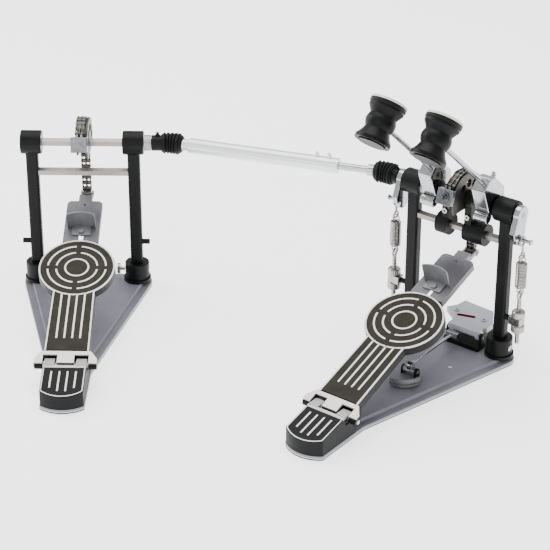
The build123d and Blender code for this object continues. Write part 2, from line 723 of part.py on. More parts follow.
# ---- axles --------------------------------------------------------------------------
def axle(hex_from, hex_to, round_from, round_to, bearings):
    """Hexagonal axle turned round at its journals, with its pressed-on ball bearings."""
    with BuildPart() as shaft:
        with BuildSketch(across(round_from)):
            Circle(JOURNAL_RADIUS)
        extrude(amount=round_to - round_from)
        with BuildSketch(across(hex_from)):
            RegularPolygon(HEX_CORNER, 6, rotation=30)
        extrude(amount=hex_to - hex_from)
    pieces = [shaft.part]
    for start in bearings:
        with BuildPart() as bearing:
            with BuildSketch(across(start + RUNNING_FIT)):
                Circle(BEARING_RADIUS - RUNNING_FIT)
                Circle(JOURNAL_RADIUS, mode=Mode.SUBTRACT)
            extrude(amount=BEARING_WIDTH - 2 * RUNNING_FIT)
        pieces.append(bearing.part)
    return Compound(children=pieces)


def housing_bearings(side):
    """Start of each of the two bearings in the housing on the given side."""
    middle = side * POST_X
    return [middle - HOUSING_LENGTH / 2, middle + HOUSING_LENGTH / 2 - BEARING_WIDTH]


# ---- beaters ------------------------------------------------------------------------
def beater_plane(x):
    """Plane of a beater: local X along its rod, local Y square to it on the drum side."""
    lean = radians(BEATER_LEAN)
    return Plane(origin=(x, 0, AXLE_HEIGHT), x_dir=(0, -sin(lean), cos(lean)), z_dir=(-1, 0, 0))


def beater_hub(x):
    """Chrome hub clamped on the axle, bored for the rod, with its two square-head screws."""
    plane = beater_plane(x)
    with BuildPart() as hub:
        with BuildSketch(plane.offset(-HUB_WIDTH / 2)):
            with BuildLine():
                Polyline(
                    (-11, -12), (14, -13), (44, 2), (43, 21), (34, 27), (4, 27), (-12, 12), close=True
                )
            make_face()
        extrude(amount=HUB_WIDTH)
        fillet(hub.edges().filter_by(Axis.X), 2)
        chamfer(hub.faces().filter_by(Axis.X).edges(), 0.8)
        with BuildSketch(plane.offset(-HUB_WIDTH / 2)):
            RegularPolygon(HEX_CORNER + RUNNING_FIT, 6, rotation=BEATER_LEAN)
        extrude(amount=HUB_WIDTH, mode=Mode.SUBTRACT)
        with BuildSketch(Plane(plane.location * Location((0, BEATER_OFFSET, 0), (0, 90, 0))).offset(-20)):
            Circle(BEATER_ROD_RADIUS + RUNNING_FIT)
        extrude(amount=80, mode=Mode.SUBTRACT)
    with BuildPart() as screw:
        with BuildSketch(Plane(plane.location * Location((24, 27, 0), (-90, 0, 0)))):
            Circle(3.4)
        extrude(amount=5)
        with BuildSketch(Plane(plane.location * Location((24, 32, 0), (-90, 0, 0)))):
            Rectangle(4.2, 4.2)
        extrude(amount=3)
    with BuildPart() as boss:
        with BuildSketch(plane.offset(-HUB_WIDTH / 2)):
            with Locations((8, -18.6)):
                Circle(6.8)
        extrude(amount=HUB_WIDTH)
        fillet(boss.edges(), 1.2)
    return Compound(children=[hub.part + boss.part, screw.part])


def beater_rod(x):
    """Straight chrome rod through the hub and the head."""
    plane = Plane(beater_plane(x).location * Location((0, BEATER_OFFSET, 0), (0, 90, 0)))
    with BuildPart() as rod:
        with BuildSketch(plane.offset(-16)):
            Circle(BEATER_ROD_RADIUS)
        extrude(amount=BEATER_REACH + 16 + 8)
        fillet(rod.edges().filter_by(GeomType.CIRCLE), 0.7)
    return rod.part


def head_plane(x):
    """Plane at the head's centre whose local Z is the head's own axis, felt side positive."""
    return Plane(beater_plane(x).location * Location((BEATER_REACH, BEATER_OFFSET, 0), (-90, 0, 0)))


def beater_head(x):
    """Waisted head body with a hard striking disc on its lower face, bored for the rod."""
    lower = HEAD_HALF
    upper = HEAD_HALF - FELT_THICK
    plane = head_plane(x)
    section = Plane(origin=plane.origin, x_dir=plane.x_dir, z_dir=-plane.y_dir)
    with BuildPart() as head:
        with BuildSketch(section):
            with BuildLine():
                Line((0, -lower), (17, -lower))
                Line((17, -lower), (17, -lower + 1.6))
                Line((17, -lower + 1.6), (22, -lower + 1.6))
                Line((22, -lower + 1.6), (22, -lower + 6))
                Spline((22, -lower + 6), (HEAD_WAIST, 0), (21.5, upper - 3))
                Line((21.5, upper - 3), (21.5, upper))
                Line((21.5, upper), (0, upper))
                Line((0, upper), (0, -lower))
            make_face()
        revolve(axis=Axis(plane.origin, plane.z_dir))
        with BuildSketch(Plane(beater_plane(x).location * Location((0, BEATER_OFFSET, 0), (0, 90, 0)))
                         .offset(BEATER_REACH - 40)):
            Circle(BEATER_ROD_RADIUS + RUNNING_FIT)
        extrude(amount=48.5, mode=Mode.SUBTRACT)
    return head.part


def beater_felt(x):
    """Hard felt disc glued to the head's upper face."""
    with BuildPart() as felt:
        with BuildSketch(head_plane(x).offset(HEAD_HALF - FELT_THICK)):
            Circle(FELT_RADIUS)
        extrude(amount=FELT_THICK)
        fillet(felt.edges().filter_by(GeomType.CIRCLE), 1.8)
    return felt.part


def rocker_pin():
    """Pin centre of the spring rocker in (Y, Z) about the axle."""
    lead = radians(ROCKER_LEAD)
    return (-ROCKER_RADIUS * sin(lead), -ROCKER_RADIUS * cos(lead))


def rocker(side):
    """Chrome rocker plate on the axle's end, with the pin that the spring hook hangs on."""
    pin = rocker_pin()
    start = ROCKER_INNER if side > 0 else -ROCKER_INNER - ROCKER_THICK
    pin_start = ROCKER_INNER if side > 0 else -ROCKER_PIN_END
    with BuildPart() as plate:
        with BuildSketch(across(start)):
            Circle(11.5)
            with Locations(pin):
                Circle(8.5)
            with BuildLine():
                Polyline((-11.4, 0), (11.4, 1), (pin[0] + 8.4, pin[1]), (-17, -28), (-19, -20), close=True)
            make_face()
        extrude(amount=ROCKER_THICK)
        chamfer(plate.faces().filter_by(Axis.X).edges(), 0.7)
        with BuildSketch(across(start)):
            Circle(JOURNAL_RADIUS)
        extrude(amount=ROCKER_THICK, mode=Mode.SUBTRACT)
        with BuildSketch(across(pin_start)):
            with Locations(pin):
                Circle(ROCKER_PIN_RADIUS)
        extrude(amount=ROCKER_PIN_END - ROCKER_INNER)
        with BuildSketch(across(side * ROCKER_PIN_END - (2 if side > 0 else 0))):
            with Locations(pin):
                Circle(ROCKER_PIN_RADIUS + 1.4)
        extrude(amount=2)
    return plate.part


# ---- return springs -----------------------------------------------------------------
def stud_line():
    """Axis of the side studs, on which the springs' swivel blocks turn."""
    return Plane(origin=(0, rocker_pin()[0], STUD_HEIGHT), x_dir=(0, 1, 0), z_dir=(1, 0, 0))


def spring_line(side):
    """Vertical line of a return spring: its X and Y."""
    return side * SPRING_X, rocker_pin()[0]


def spring_bolt(side):
    """Tension bolt with its eye, swivel block and two knurled nuts."""
    x, y = spring_line(side)
    foot = Plane.XY.offset(BOLT_LOW)
    block_inner = side * (STUD_REACH - STUD_ENGAGEMENT)
    block_outer = side * (SPRING_X + 6.5)
    with BuildPart() as bolt:
        with BuildSketch(foot):
            with Locations((x, y)):
                Circle(BOLT_RADIUS)
        extrude(amount=BOLT_EYE_Z - 4.4 - BOLT_LOW)
        with BuildSketch(Plane(origin=(x, y, BOLT_EYE_Z), x_dir=(0, 0, 1), z_dir=(0, 1, 0))):
            with Locations((4.4, 0)):
                Circle(1.5)
        revolve(axis=Axis((x, y, BOLT_EYE_Z), (1, 0, 0)))
    with BuildPart() as block:
        with BuildSketch(Plane.XY.offset(STUD_HEIGHT - 5)):
            with Locations(((block_inner + block_outer) / 2, y)):
                RectangleRounded(abs(block_outer - block_inner), 12, 2)
            with Locations((x, y)):
                Circle(BOLT_RADIUS, mode=Mode.SUBTRACT)
        extrude(amount=10)
        with BuildSketch(across(min(block_inner, side * (STUD_REACH + SLACK)), stud_line())):
            Circle(STUD_RADIUS + RUNNING_FIT)
        extrude(amount=STUD_ENGAGEMENT + SLACK, mode=Mode.SUBTRACT)
    nuts = []
    for low, high in ((STUD_HEIGHT + 5, STUD_HEIGHT + 14), (STUD_HEIGHT - 15, STUD_HEIGHT - 5)):
        with BuildPart() as nut:
            with BuildSketch(Plane.XY.offset(low)):
                with Locations((x, y)):
                    Circle(NUT_RADIUS)
                    Circle(BOLT_RADIUS, mode=Mode.SUBTRACT)
            extrude(amount=high - low)
            rims = nut.edges().filter_by(GeomType.CIRCLE)
            chamfer(rims.filter_by(lambda edge: abs(edge.radius - NUT_RADIUS) < 0.1), 1)
        nuts.append(nut.part)
    return Compound(children=[bolt.part, block.part] + nuts)


def return_spring(side):
    """Close-wound tension spring body with a loop at each end."""
    x, y = spring_line(side)
    turns = round((SPRING_HIGH - SPRING_LOW) / (SPRING_WIRE + 0.1))
    pitch = (SPRING_HIGH - SPRING_LOW) / turns
    coil = SPRING_RADIUS - SPRING_WIRE / 2
    with BuildPart() as spring:
        with BuildSketch(Plane(origin=(x, y, 0), x_dir=(1, 0, 0), z_dir=(0, -1, 0))):
            for turn in range(turns):
                with Locations((coil, SPRING_LOW + pitch * (turn + 0.5))):
                    Circle(SPRING_WIRE / 2 + 0.15)
        revolve(axis=Axis((x, y, 0), (0, 0, 1)))
        for level in (SPRING_LOW - LOOP_RISE, SPRING_HIGH + LOOP_RISE):
            with BuildSketch(Plane(origin=(x, y, level), x_dir=(1, 0, 0), z_dir=(0, 0, 1))):
                with Locations((LOOP_RADIUS, 0)):
                    Circle(0.9)
            revolve(axis=Axis((x, y, level), (0, 1, 0)))
        for level in (SPRING_LOW, SPRING_HIGH - 1.4):
            with BuildSketch(Plane.XY.offset(level)):
                with Locations((x, y)):
                    Circle(coil)
            extrude(amount=1.4)
    return spring.part


def spring_hook(side):
    """Hook link: an upper ring round the rocker's pin and a lower eye for the spring."""
    x, y = spring_line(side)
    pin_y, pin_z = rocker_pin()
    ring = ROCKER_PIN_RADIUS + HOOK_SLACK + HOOK_WIRE
    top_z = AXLE_HEIGHT + pin_z + HOOK_BIAS_Z
    eye_z = SPRING_HIGH + LOOP_RISE + LOOP_RADIUS
    eye = 4.2
    ring_x = side * (ROCKER_INNER + ROCKER_THICK + 3.2)
    with BuildPart() as hook:
        centre = (ring_x, pin_y + HOOK_BIAS_Y, top_z)
        with BuildSketch(Plane(origin=centre, x_dir=(0, 0, 1), z_dir=(0, 1, 0))):
            with Locations((ring, 0)):
                Circle(HOOK_WIRE)
        revolve(axis=Axis(centre, (1, 0, 0)))
        with BuildSketch(Plane(origin=(x, y, eye_z), x_dir=(0, 0, 1), z_dir=(0, 1, 0))):
            with Locations((eye, 0)):
                Circle(HOOK_WIRE)
        revolve(axis=Axis((x, y, eye_z), (1, 0, 0)))
        with BuildSketch(Plane.XY.offset(eye_z + eye - 0.4)):
            with Locations((x, y)):
                Circle(HOOK_WIRE + 0.3)
        extrude(amount=top_z - ring - eye_z - eye + 0.8)
    return hook.part


# ---- centre bearing arms ------------------------------------------------------------
def center_arms():
    """Two arms clamped on the tie rod, whose upper eyes carry the inner axle ends."""
    drop = TIE_ROD_HEIGHT - AXLE_HEIGHT
    arms = []
    for start, clamp_start, clamp_end, bore in (
        (-ARM_CLEAR_X - ARM_THICK, -28.0, -ARM_CLEAR_X, JOURNAL_RADIUS),
        (ARM_CLEAR_X, ARM_CLEAR_X, 40.0, HEX_CORNER),
    ):
        with BuildPart() as arm:
            with BuildSketch(across(start)):
                Circle(ARM_EYE_RADIUS)
                with Locations((0, drop / 2)):
                    Rectangle(17, -drop)
            extrude(amount=ARM_THICK)
            with BuildSketch(across(clamp_start, TIE_PLANE)):
                Circle(ARM_CLAMP_RADIUS)
            extrude(amount=clamp_end - clamp_start)
            with BuildSketch(across(clamp_start, TIE_PLANE)):
                RegularPolygon(HEX_CORNER, 6, rotation=30)
            extrude(amount=clamp_end - clamp_start, mode=Mode.SUBTRACT)
            with BuildSketch(across(start)):
                Circle(bore + RUNNING_FIT)
            extrude(amount=ARM_THICK, mode=Mode.SUBTRACT)
        arms.append(arm.part)
    return Compound(children=arms)


# ---- drive shaft --------------------------------------------------------------------
def yoke(side, reach):
    """Hub clamped on the axle's end, with two ears reaching beside the joint's centre."""
    hub_start = 90.0
    hub_end = reach - FORK_GAP
    with BuildPart() as fork:
        with BuildSketch(across(side * hub_start if side > 0 else -hub_end)):
            Circle(YOKE_RADIUS)
        extrude(amount=hub_end - hub_start)
        for ear in (-1, 1):
            with BuildSketch(across(side * (hub_end - 1) if side > 0 else -(reach + FORK_HALF))):
                with Locations((ear * (FORK_INNER + FORK_OUTER) / 2, 0)):
                    Rectangle(FORK_OUTER - FORK_INNER, 2 * FORK_HALF)
            extrude(amount=reach + FORK_HALF - hub_end + 1)
        with BuildSketch(across(side * hub_start if side > 0 else -hub_end + 3)):
            Circle(JOURNAL_RADIUS)
        extrude(amount=hub_end - hub_start - 3, mode=Mode.SUBTRACT)
    middle = side * (hub_start + hub_end) / 2
    with BuildPart() as screw:
        with BuildSketch(Plane(origin=(middle, 0, AXLE_HEIGHT + YOKE_RADIUS), z_dir=(0, 0, 1))):
            Circle(3)
        extrude(amount=1.5)
        with BuildSketch(Plane(origin=(middle, 0, AXLE_HEIGHT + YOKE_RADIUS + 1.5), z_dir=(0, 0, 1))):
            Rectangle(3.6, 3.6)
        extrude(amount=3)
    with BuildPart() as flat:
        with BuildSketch(Plane(origin=(middle, 0, AXLE_HEIGHT + YOKE_RADIUS - 1), z_dir=(0, 0, 1))):
            Circle(3)
        extrude(amount=1)
    return Compound(children=[fork.part - flat.part, screw.part])


def along_shaft(distance):
    """Plane square to the shaft at a distance from the main universal joint."""
    start = SHAFT.origin + SHAFT.x_dir * distance
    return Plane(origin=start, x_dir=(0, 0, 1), z_dir=SHAFT.x_dir)


def joint_ball(distance):
    """Cross of a universal joint, as the ball that both forks reach around."""
    with BuildPart(SHAFT) as ball:
        with Locations((distance, 0, 0)):
            Sphere(BALL_RADIUS)
    return ball.part


def shaft_rod():
    """Inner shaft: solid rod with the main joint's fork and collar on its end."""
    with BuildPart() as rod:
        with BuildSketch(along_shaft(FORK_GAP)):
            Circle(COLLAR_RADIUS)
        extrude(amount=COLLAR_END - FORK_GAP)
        for ear in (-1, 1):
            with BuildSketch(along_shaft(-FORK_HALF)):
                with Locations((ear * (FORK_INNER + FORK_OUTER) / 2, 0)):
                    Rectangle(FORK_OUTER - FORK_INNER, 2 * FORK_HALF)
            extrude(amount=FORK_HALF + FORK_GAP + 1)
        with BuildSketch(along_shaft(FORK_GAP)):
            Circle(FORK_OUTER + 0.6)
        extrude(amount=2)
        with BuildSketch(along_shaft(COLLAR_END)):
            Circle(SHAFT_ROD_RADIUS)
        extrude(amount=SHAFT_ROD_END - COLLAR_END)
    return Compound(children=[rod.part, joint_ball(0)])


def shaft_tube():
    """Outer shaft tube with its two clamp screws, and the slave joint's fork and collar."""
    fork_face = SHAFT_LENGTH - FORK_GAP
    with BuildPart() as tube:
        with BuildSketch(along_shaft(TUBE_START)):
            Circle(TUBE_RADIUS)
        extrude(amount=TUBE_END - TUBE_START)
        fillet(tube.edges().filter_by(GeomType.CIRCLE), 0.8)
        with BuildSketch(along_shaft(TUBE_START)):
            Circle(SHAFT_ROD_RADIUS + RUNNING_FIT)
        extrude(amount=TUBE_END - TUBE_START - 6, mode=Mode.SUBTRACT)
    with BuildPart() as fork:
        with BuildSketch(along_shaft(TUBE_END)):
            Circle(COLLAR_RADIUS)
        extrude(amount=fork_face - TUBE_END)
        with BuildSketch(along_shaft(fork_face - 2)):
            Circle(FORK_OUTER + 0.6)
        extrude(amount=2)
        for ear in (-1, 1):
            with BuildSketch(along_shaft(fork_face - 1)):
                with Locations((ear * (FORK_INNER + FORK_OUTER) / 2, 0)):
                    Rectangle(FORK_OUTER - FORK_INNER, 2 * FORK_HALF)
            extrude(amount=FORK_HALF + FORK_GAP + 1)
    pieces = [tube.part, fork.part, joint_ball(SHAFT_LENGTH)]
    for distance in (TUBE_START + 13, TUBE_START + 29):
        origin = SHAFT.origin + SHAFT.x_dir * distance + Vector(0, 0, TUBE_RADIUS)
        with BuildPart() as screw:
            with BuildSketch(Plane(origin=origin + Vector(0, 0, 0.1), z_dir=(0, 0, 1))):
                Circle(2.6)
            extrude(amount=2.4)
            with BuildSketch(Plane(origin=origin + Vector(0, 0, 2.5), z_dir=(0, 0, 1))):
                Rectangle(3.4, 3.4)
            extrude(amount=3)
        pieces.append(screw.part)
    return Compound(children=pieces)


def boot(centre, outward, shaft_dir):
    """Rubber bellows over a universal joint: two ribbed sleeves that meet at the joint."""
    hub_side = Plane(origin=centre, z_dir=outward * -1)
    shaft_side = Plane(origin=centre, z_dir=shaft_dir)
    middle = Plane(origin=centre, z_dir=(outward + shaft_dir).normalized())
    outer = BOOT_INNER + BOOT_WALL
    ribs = ((hub_side, 9.5), (hub_side, 4.8), (middle, 0), (shaft_side, 4.8), (shaft_side, 9.5))
    with BuildPart() as bellows:
        with BuildSketch(hub_side):
            Circle(outer)
        extrude(amount=BOOT_HUB_REACH)
        with BuildSketch(shaft_side):
            Circle(outer)
        extrude(amount=BOOT_SHAFT_REACH)
        with Locations(Location(centre)):
            Sphere(outer)
        for plane, distance in ribs:
            with BuildSketch(plane.offset(distance - BOOT_RIB_THICK / 2)):
                Circle(BOOT_RIB)
            extrude(amount=BOOT_RIB_THICK)
        with BuildSketch(hub_side):
            Circle(BOOT_INNER)
        extrude(amount=BOOT_HUB_REACH, mode=Mode.SUBTRACT)
        with BuildSketch(shaft_side):
            Circle(BOOT_INNER)
        extrude(amount=BOOT_SHAFT_REACH - 2, mode=Mode.SUBTRACT)
        with Locations(Location(centre)):
            Sphere(BOOT_INNER, mode=Mode.SUBTRACT)
        with BuildSketch(shaft_side):
            Circle(COLLAR_RADIUS + 0.1)
        extrude(amount=BOOT_SHAFT_REACH, mode=Mode.SUBTRACT)
    return bellows.part


# ---- hoop clamp ---------------------------------------------------------------------
CLAMP_PLANE = Plane(origin=(0, CLAMP_PIVOT_Y, CLAMP_PIVOT_Z), x_dir=(0, 1, 0), z_dir=(1, 0, 0))
LEVER_PLANE = Plane(origin=(0, LEVER_PIVOT_Y, LEVER_PIVOT_Z), x_dir=(0, 1, 0), z_dir=(1, 0, 0))


def clamp_base():
    """Lower clamp body with its hoop lip and pivot ears, and the lever's two bracket lugs."""
    with BuildPart() as body:
        with BuildSketch(Plane.XY.offset(PLATE_TOP)):
            with Locations(((CLAMP_LEFT + CLAMP_RIGHT) / 2, 2)):
                RectangleRounded(CLAMP_RIGHT - CLAMP_LEFT, 32, 3)
        extrude(amount=CLAMP_MOUTH_LOW - PLATE_TOP)
        with BuildSketch(Plane.XY.offset(3)):
            with Locations((4, PLATE_SHOULDER + SLACK + 16)):
                RectangleRounded(50, 32, 4)
        extrude(amount=CLAMP_MOUTH_LOW - 3)
        with BuildSketch(Plane.XY.offset(PLATE_TOP + 1)):
            with Locations((10, 19)):
                Rectangle(36, 12)
        extrude(amount=CLAMP_MOUTH_LOW - PLATE_TOP - 1)
        for start in (CLAMP_LEFT, CLAMP_RIGHT - 4):
            with BuildSketch(across(start, CLAMP_PLANE)):
                Circle(5)
                with Locations((0, -6)):
                    Rectangle(10, 12)
            extrude(amount=4)
        with BuildSketch(across(CLAMP_LEFT, CLAMP_PLANE)):
            Circle(2 + RUNNING_FIT)
        extrude(amount=CLAMP_RIGHT - CLAMP_LEFT, mode=Mode.SUBTRACT)
    pieces = [body.part]
    for start in (-2.0, 17.0):
        with BuildPart() as lug:
            with BuildSketch(across(start, LEVER_PLANE)):
                Circle(4.5)
                with Locations((0, (PLATE_TOP - LEVER_PIVOT_Z) / 2)):
                    Rectangle(9, LEVER_PIVOT_Z - PLATE_TOP)
            extrude(amount=2.5)
            with BuildSketch(across(start, LEVER_PLANE)):
                Circle(2 + RUNNING_FIT)
            extrude(amount=2.5, mode=Mode.SUBTRACT)
        pieces.append(lug.part)
    return Compound(children=pieces)


def clamp_jaw():
    """Upper clamp plate on its pivot pin, slotted over the pressure pad, with two cap screws."""
    left = CLAMP_LEFT + 4 + SLACK
    right = CLAMP_RIGHT - 4 - SLACK
    with BuildPart() as jaw:
        with BuildSketch(Plane.XY.offset(CLAMP_PLATE_LOW)):
            with BuildLine():
                Polyline(
                    (-27, 23), (-19, 36), (-17, 51), (27, 48), (43, 21), (43, 7), (right, 5),
                    (right, -10), (left, -10), (left, 6), close=True,
                )
            make_face()
            with Locations(Location((6, 17, 0), (0, 0, 18))):
                SlotOverall(24, 5, mode=Mode.SUBTRACT)
        extrude(amount=CLAMP_PLATE_TOP - CLAMP_PLATE_LOW)
        fillet(jaw.faces().sort_by(Axis.Z)[-1].edges(), 1)
        for start in (left, right - 6):
            with BuildSketch(across(start, CLAMP_PLANE)):
                Circle(4.6)
                with Locations((0, 3)):
                    Rectangle(9.2, 6)
            extrude(amount=6)
        with BuildSketch(across(CLAMP_LEFT + 0.5, CLAMP_PLANE)):
            Circle(2)
        extrude(amount=CLAMP_RIGHT - CLAMP_LEFT - 1)
    caps = []
    for place in ((-11, 22), (30, 20)):
        with BuildPart() as cap:
            with BuildSketch(Plane.XY.offset(CLAMP_PLATE_TOP)):
                with Locations(place):
                    Circle(3.6)
            extrude(amount=1.4)
        caps.append(cap.part)
    return Compound(children=[jaw.part] + caps)


def clamp_rod():
    """Pull rod from the jaw's cross nut back to the lever, with an eye at its player end."""
    rear = CLAMP_PIVOT_Y - 8 - CLAMP_NUT_GAP - 4
    rod_plane = Plane(origin=(CLAMP_ROD_X, LEVER_PIVOT_Y, CLAMP_ROD_Z), x_dir=(1, 0, 0), z_dir=(0, 1, 0))
    with BuildPart() as rod:
        with BuildSketch(rod_plane.offset(3)):
            Circle(CLAMP_ROD_RADIUS)
        extrude(amount=rear - LEVER_PIVOT_Y - 3)
        with BuildSketch(rod_plane.offset(rear - LEVER_PIVOT_Y - 6)):
            RectangleRounded(16, 6.5, 1)
        extrude(amount=6)
        eye_plane = Plane(origin=(0, LEVER_PIVOT_Y, CLAMP_ROD_Z), x_dir=(0, 1, 0), z_dir=(1, 0, 0))
        with BuildSketch(across(CLAMP_ROD_X - 2, eye_plane)):
            Circle(4.4)
        extrude(amount=4)
        with BuildSketch(across(CLAMP_ROD_X - 2, eye_plane)):
            Circle(2.8)
        extrude(amount=4, mode=Mode.SUBTRACT)
    return rod.part


def clamp_lever():
    """Foot lever of the clamp: hub on its pin, cheeks for the rod and a fan of curved fins."""
    arm = CLAMP_ROD_Z - LEVER_PIVOT_Z
    with BuildPart() as lever:
        with BuildSketch(across(0.8, LEVER_PLANE)):
            Circle(4.4)
        extrude(amount=15.9)
        for start in (CLAMP_ROD_X - 4.8, CLAMP_ROD_X + 2.3):
            with BuildSketch(across(start, LEVER_PLANE)):
                with Locations((0, arm / 2)):
                    SlotCenterToCenter(arm, 7, rotation=90)
            extrude(amount=2.5)
        with BuildSketch(across(CLAMP_ROD_X - 4.8, LEVER_PLANE)):
            with Locations((0, arm)):
                Circle(1.2)
        extrude(amount=9.6)
        with BuildSketch(across(CLAMP_ROD_X - 2.3, LEVER_PLANE)):
            with Locations((0, arm)):
                Rectangle(14, 10)
                Circle(1.2, mode=Mode.SUBTRACT)
        extrude(amount=4.6, mode=Mode.SUBTRACT)
        with BuildSketch(across(-2.2, LEVER_PLANE)):
            Circle(2)
        extrude(amount=22)
        with BuildSketch(Plane.XY.offset(PLATE_TOP + 1.5)):
            with BuildLine():
                Line((1, LEVER_PIVOT_Y - 2), (16.5, LEVER_PIVOT_Y - 2))
                Line((16.5, LEVER_PIVOT_Y - 2), (16.5, LEVER_PIVOT_Y - 6))
                Line((16.5, LEVER_PIVOT_Y - 6), (30, LEVER_PIVOT_Y - 9))
                ThreePointArc((30, LEVER_PIVOT_Y - 9), (22, LEVER_PIVOT_Y - 28), (1, LEVER_PIVOT_Y - 34))
                Line((1, LEVER_PIVOT_Y - 34), (1, LEVER_PIVOT_Y - 2))
            make_face()
        extrude(amount=3)
        with BuildSketch(Plane.XY.offset(PLATE_TOP + 4.5)):
            for radius in (13, 21, 29):
                with Locations((1, LEVER_PIVOT_Y - 4)):
                    Circle(radius)
                    Circle(radius - 2.6, mode=Mode.SUBTRACT)
            with Locations((-39, LEVER_PIVOT_Y)):
                Rectangle(80, 120, mode=Mode.SUBTRACT)
            with Locations((20, LEVER_PIVOT_Y + 44)):
                Rectangle(80, 104, mode=Mode.SUBTRACT)
        extrude(amount=5.5)
    return lever.part


# ---- fasteners ----------------------------------------------------------------------
def socket_screws():
    """Set screws in the sockets' outer sides, as separate pins that bear on the posts."""
    level = Plane(origin=(0, 0, PLATE_TOP + FLANGE_THICK + 9), x_dir=(0, 1, 0), z_dir=(1, 0, 0))
    screws = []
    for start in (POST_FACE + 0.1, -POST_X - SOCKET_RADIUS + 0.6):
        with BuildPart() as screw:
            with BuildSketch(across(start, level)):
                Circle(SET_SCREW_RADIUS)
            extrude(amount=SOCKET_RADIUS - POST_WIDTH / 2 - 0.7)
        screws.append(screw.part)
    return screws


def arm_screws():
    """Clamp screws on the player side of the two bearing arms."""
    screws = []
    for x in (-ARM_CLEAR_X - ARM_THICK / 2, ARM_CLEAR_X + ARM_THICK / 2):
        with BuildPart() as screw:
            with BuildSketch(Plane(origin=(x, -8.5, (AXLE_HEIGHT + TIE_ROD_HEIGHT) / 2), z_dir=(0, -1, 0))):
                Circle(3.4)
                RegularPolygon(1.6, 6, mode=Mode.SUBTRACT)
            extrude(amount=2.4)
        screws.append(screw.part)
    return screws


def thumb_screw():
    """Knurled thumb screw beside the slave station's right socket."""
    with BuildPart() as screw:
        with BuildSketch(Plane(origin=(POST_X - SOCKET_RADIUS - 0.4, 0, 24), z_dir=(-1, 0, 0))):
            Circle(2.4)
        extrude(amount=6)
        with BuildSketch(Plane(origin=(POST_X - SOCKET_RADIUS - 6.4, 0, 24), z_dir=(-1, 0, 0))):
            Circle(7)
        extrude(amount=4)
    return screw.part


# ---- both stations ------------------------------------------------------------------
for side, place, joint_side, joint_reach in (
    ("main", MAIN, -1, MAIN_JOINT_REACH),
    ("slave", SLAVE, 1, SLAVE_JOINT_REACH),
):
    keep(base_plate(side == "main"), f"{side}_base_plate", place)
    keep(heel_block(), f"{side}_heel_block", place)
    keep(post_sockets(), f"{side}_post_sockets", place)
    keep(posts(), f"{side}_posts", place)
    keep(tie_rod(), f"{side}_tie_rod", place)
    keep(footboard(), f"{side}_footboard", place)
    keep(grip(), f"{side}_grip", place)
    keep(hinge_plate(), f"{side}_hinge_plate", place)
    keep(toe_stop(), f"{side}_toe_stop", place)
    keep(clevis(), f"{side}_clevis", place)
    keep(sprocket(), f"{side}_sprocket", place)
    keep(chain(chain_pins_wrapped(), True, 0, False), f"{side}_chain_wrap", place)
    keep(chain(chain_pins_run(), False, CHAIN_RUN_LINKS, True), f"{side}_chain_run", place)
    keep(chain_clamp(), f"{side}_chain_clamp", place)
    keep(yoke(joint_side, joint_reach), f"{side}_yoke", place)

keep(Compound(children=socket_screws() + arm_screws()), "main_screws")
keep(Compound(children=socket_screws() + [thumb_screw()]), "slave_screws", SLAVE)

# ---- axles: the slave's crosses its station, the main station holds two end to end --
split = ARM_CLEAR_X + ARM_THICK / 2
yoke_seat = 3.3
hex_end = HOUSING_INNER - 2 * SLACK
rocker_end = ROCKER_INNER + ROCKER_THICK
slave_end = SLAVE_JOINT_REACH - FORK_GAP - yoke_seat
left_end = -MAIN_JOINT_REACH + FORK_GAP + yoke_seat
slave_rings = housing_bearings(-1) + housing_bearings(1)
main_axle = axle(-ARM_CLEAR_X + SLACK, hex_end, -split + SLACK, rocker_end, housing_bearings(1))
left_axle = axle(-hex_end, -ARM_CLEAR_X - ARM_THICK - SLACK, left_end, -split - SLACK, housing_bearings(-1))
keep(axle(-hex_end, hex_end, -HOUSING_OUTER - 1, slave_end, slave_rings), "slave_axle", SLAVE)
keep(main_axle, "main_axle")
keep(left_axle, "left_axle")
keep(center_arms(), "center_arms")

# ---- beaters and return springs -----------------------------------------------------
for name, x, side in (("main", MAIN_BEATER_X, 1), ("left", SLAVE_BEATER_X, -1)):
    keep(beater_hub(x), f"{name}_beater_hub")
    keep(beater_rod(x), f"{name}_beater_rod")
    keep(beater_head(x), f"{name}_beater_head")
    keep(beater_felt(x), f"{name}_beater_felt")
    keep(rocker(side), f"{name}_rocker")
    keep(spring_bolt(side), f"{name}_spring_bolt")
    keep(return_spring(side), f"{name}_spring")
    keep(spring_hook(side), f"{name}_spring_hook")

# ---- drive shaft and hoop clamp -----------------------------------------------------
main_joint = SHAFT.origin
slave_joint = SHAFT.origin + SHAFT.x_dir * SHAFT_LENGTH
slave_outward = Vector(cos(radians(SLAVE_TURN)), sin(radians(SLAVE_TURN)), 0)
keep(shaft_rod(), "shaft_rod")
keep(shaft_tube(), "shaft_tube")
keep(boot(main_joint, Vector(-1, 0, 0), SHAFT.x_dir), "main_boot")
keep(boot(slave_joint, slave_outward, SHAFT.x_dir * -1), "slave_boot")
keep(clamp_base(), "clamp_base")
keep(clamp_jaw(), "clamp_jaw")
keep(clamp_rod(), "clamp_rod")
keep(clamp_lever(), "clamp_lever")
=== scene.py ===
import bmesh
import bpy
from math import cos, pi, radians, sin
from mathutils import Matrix, Vector


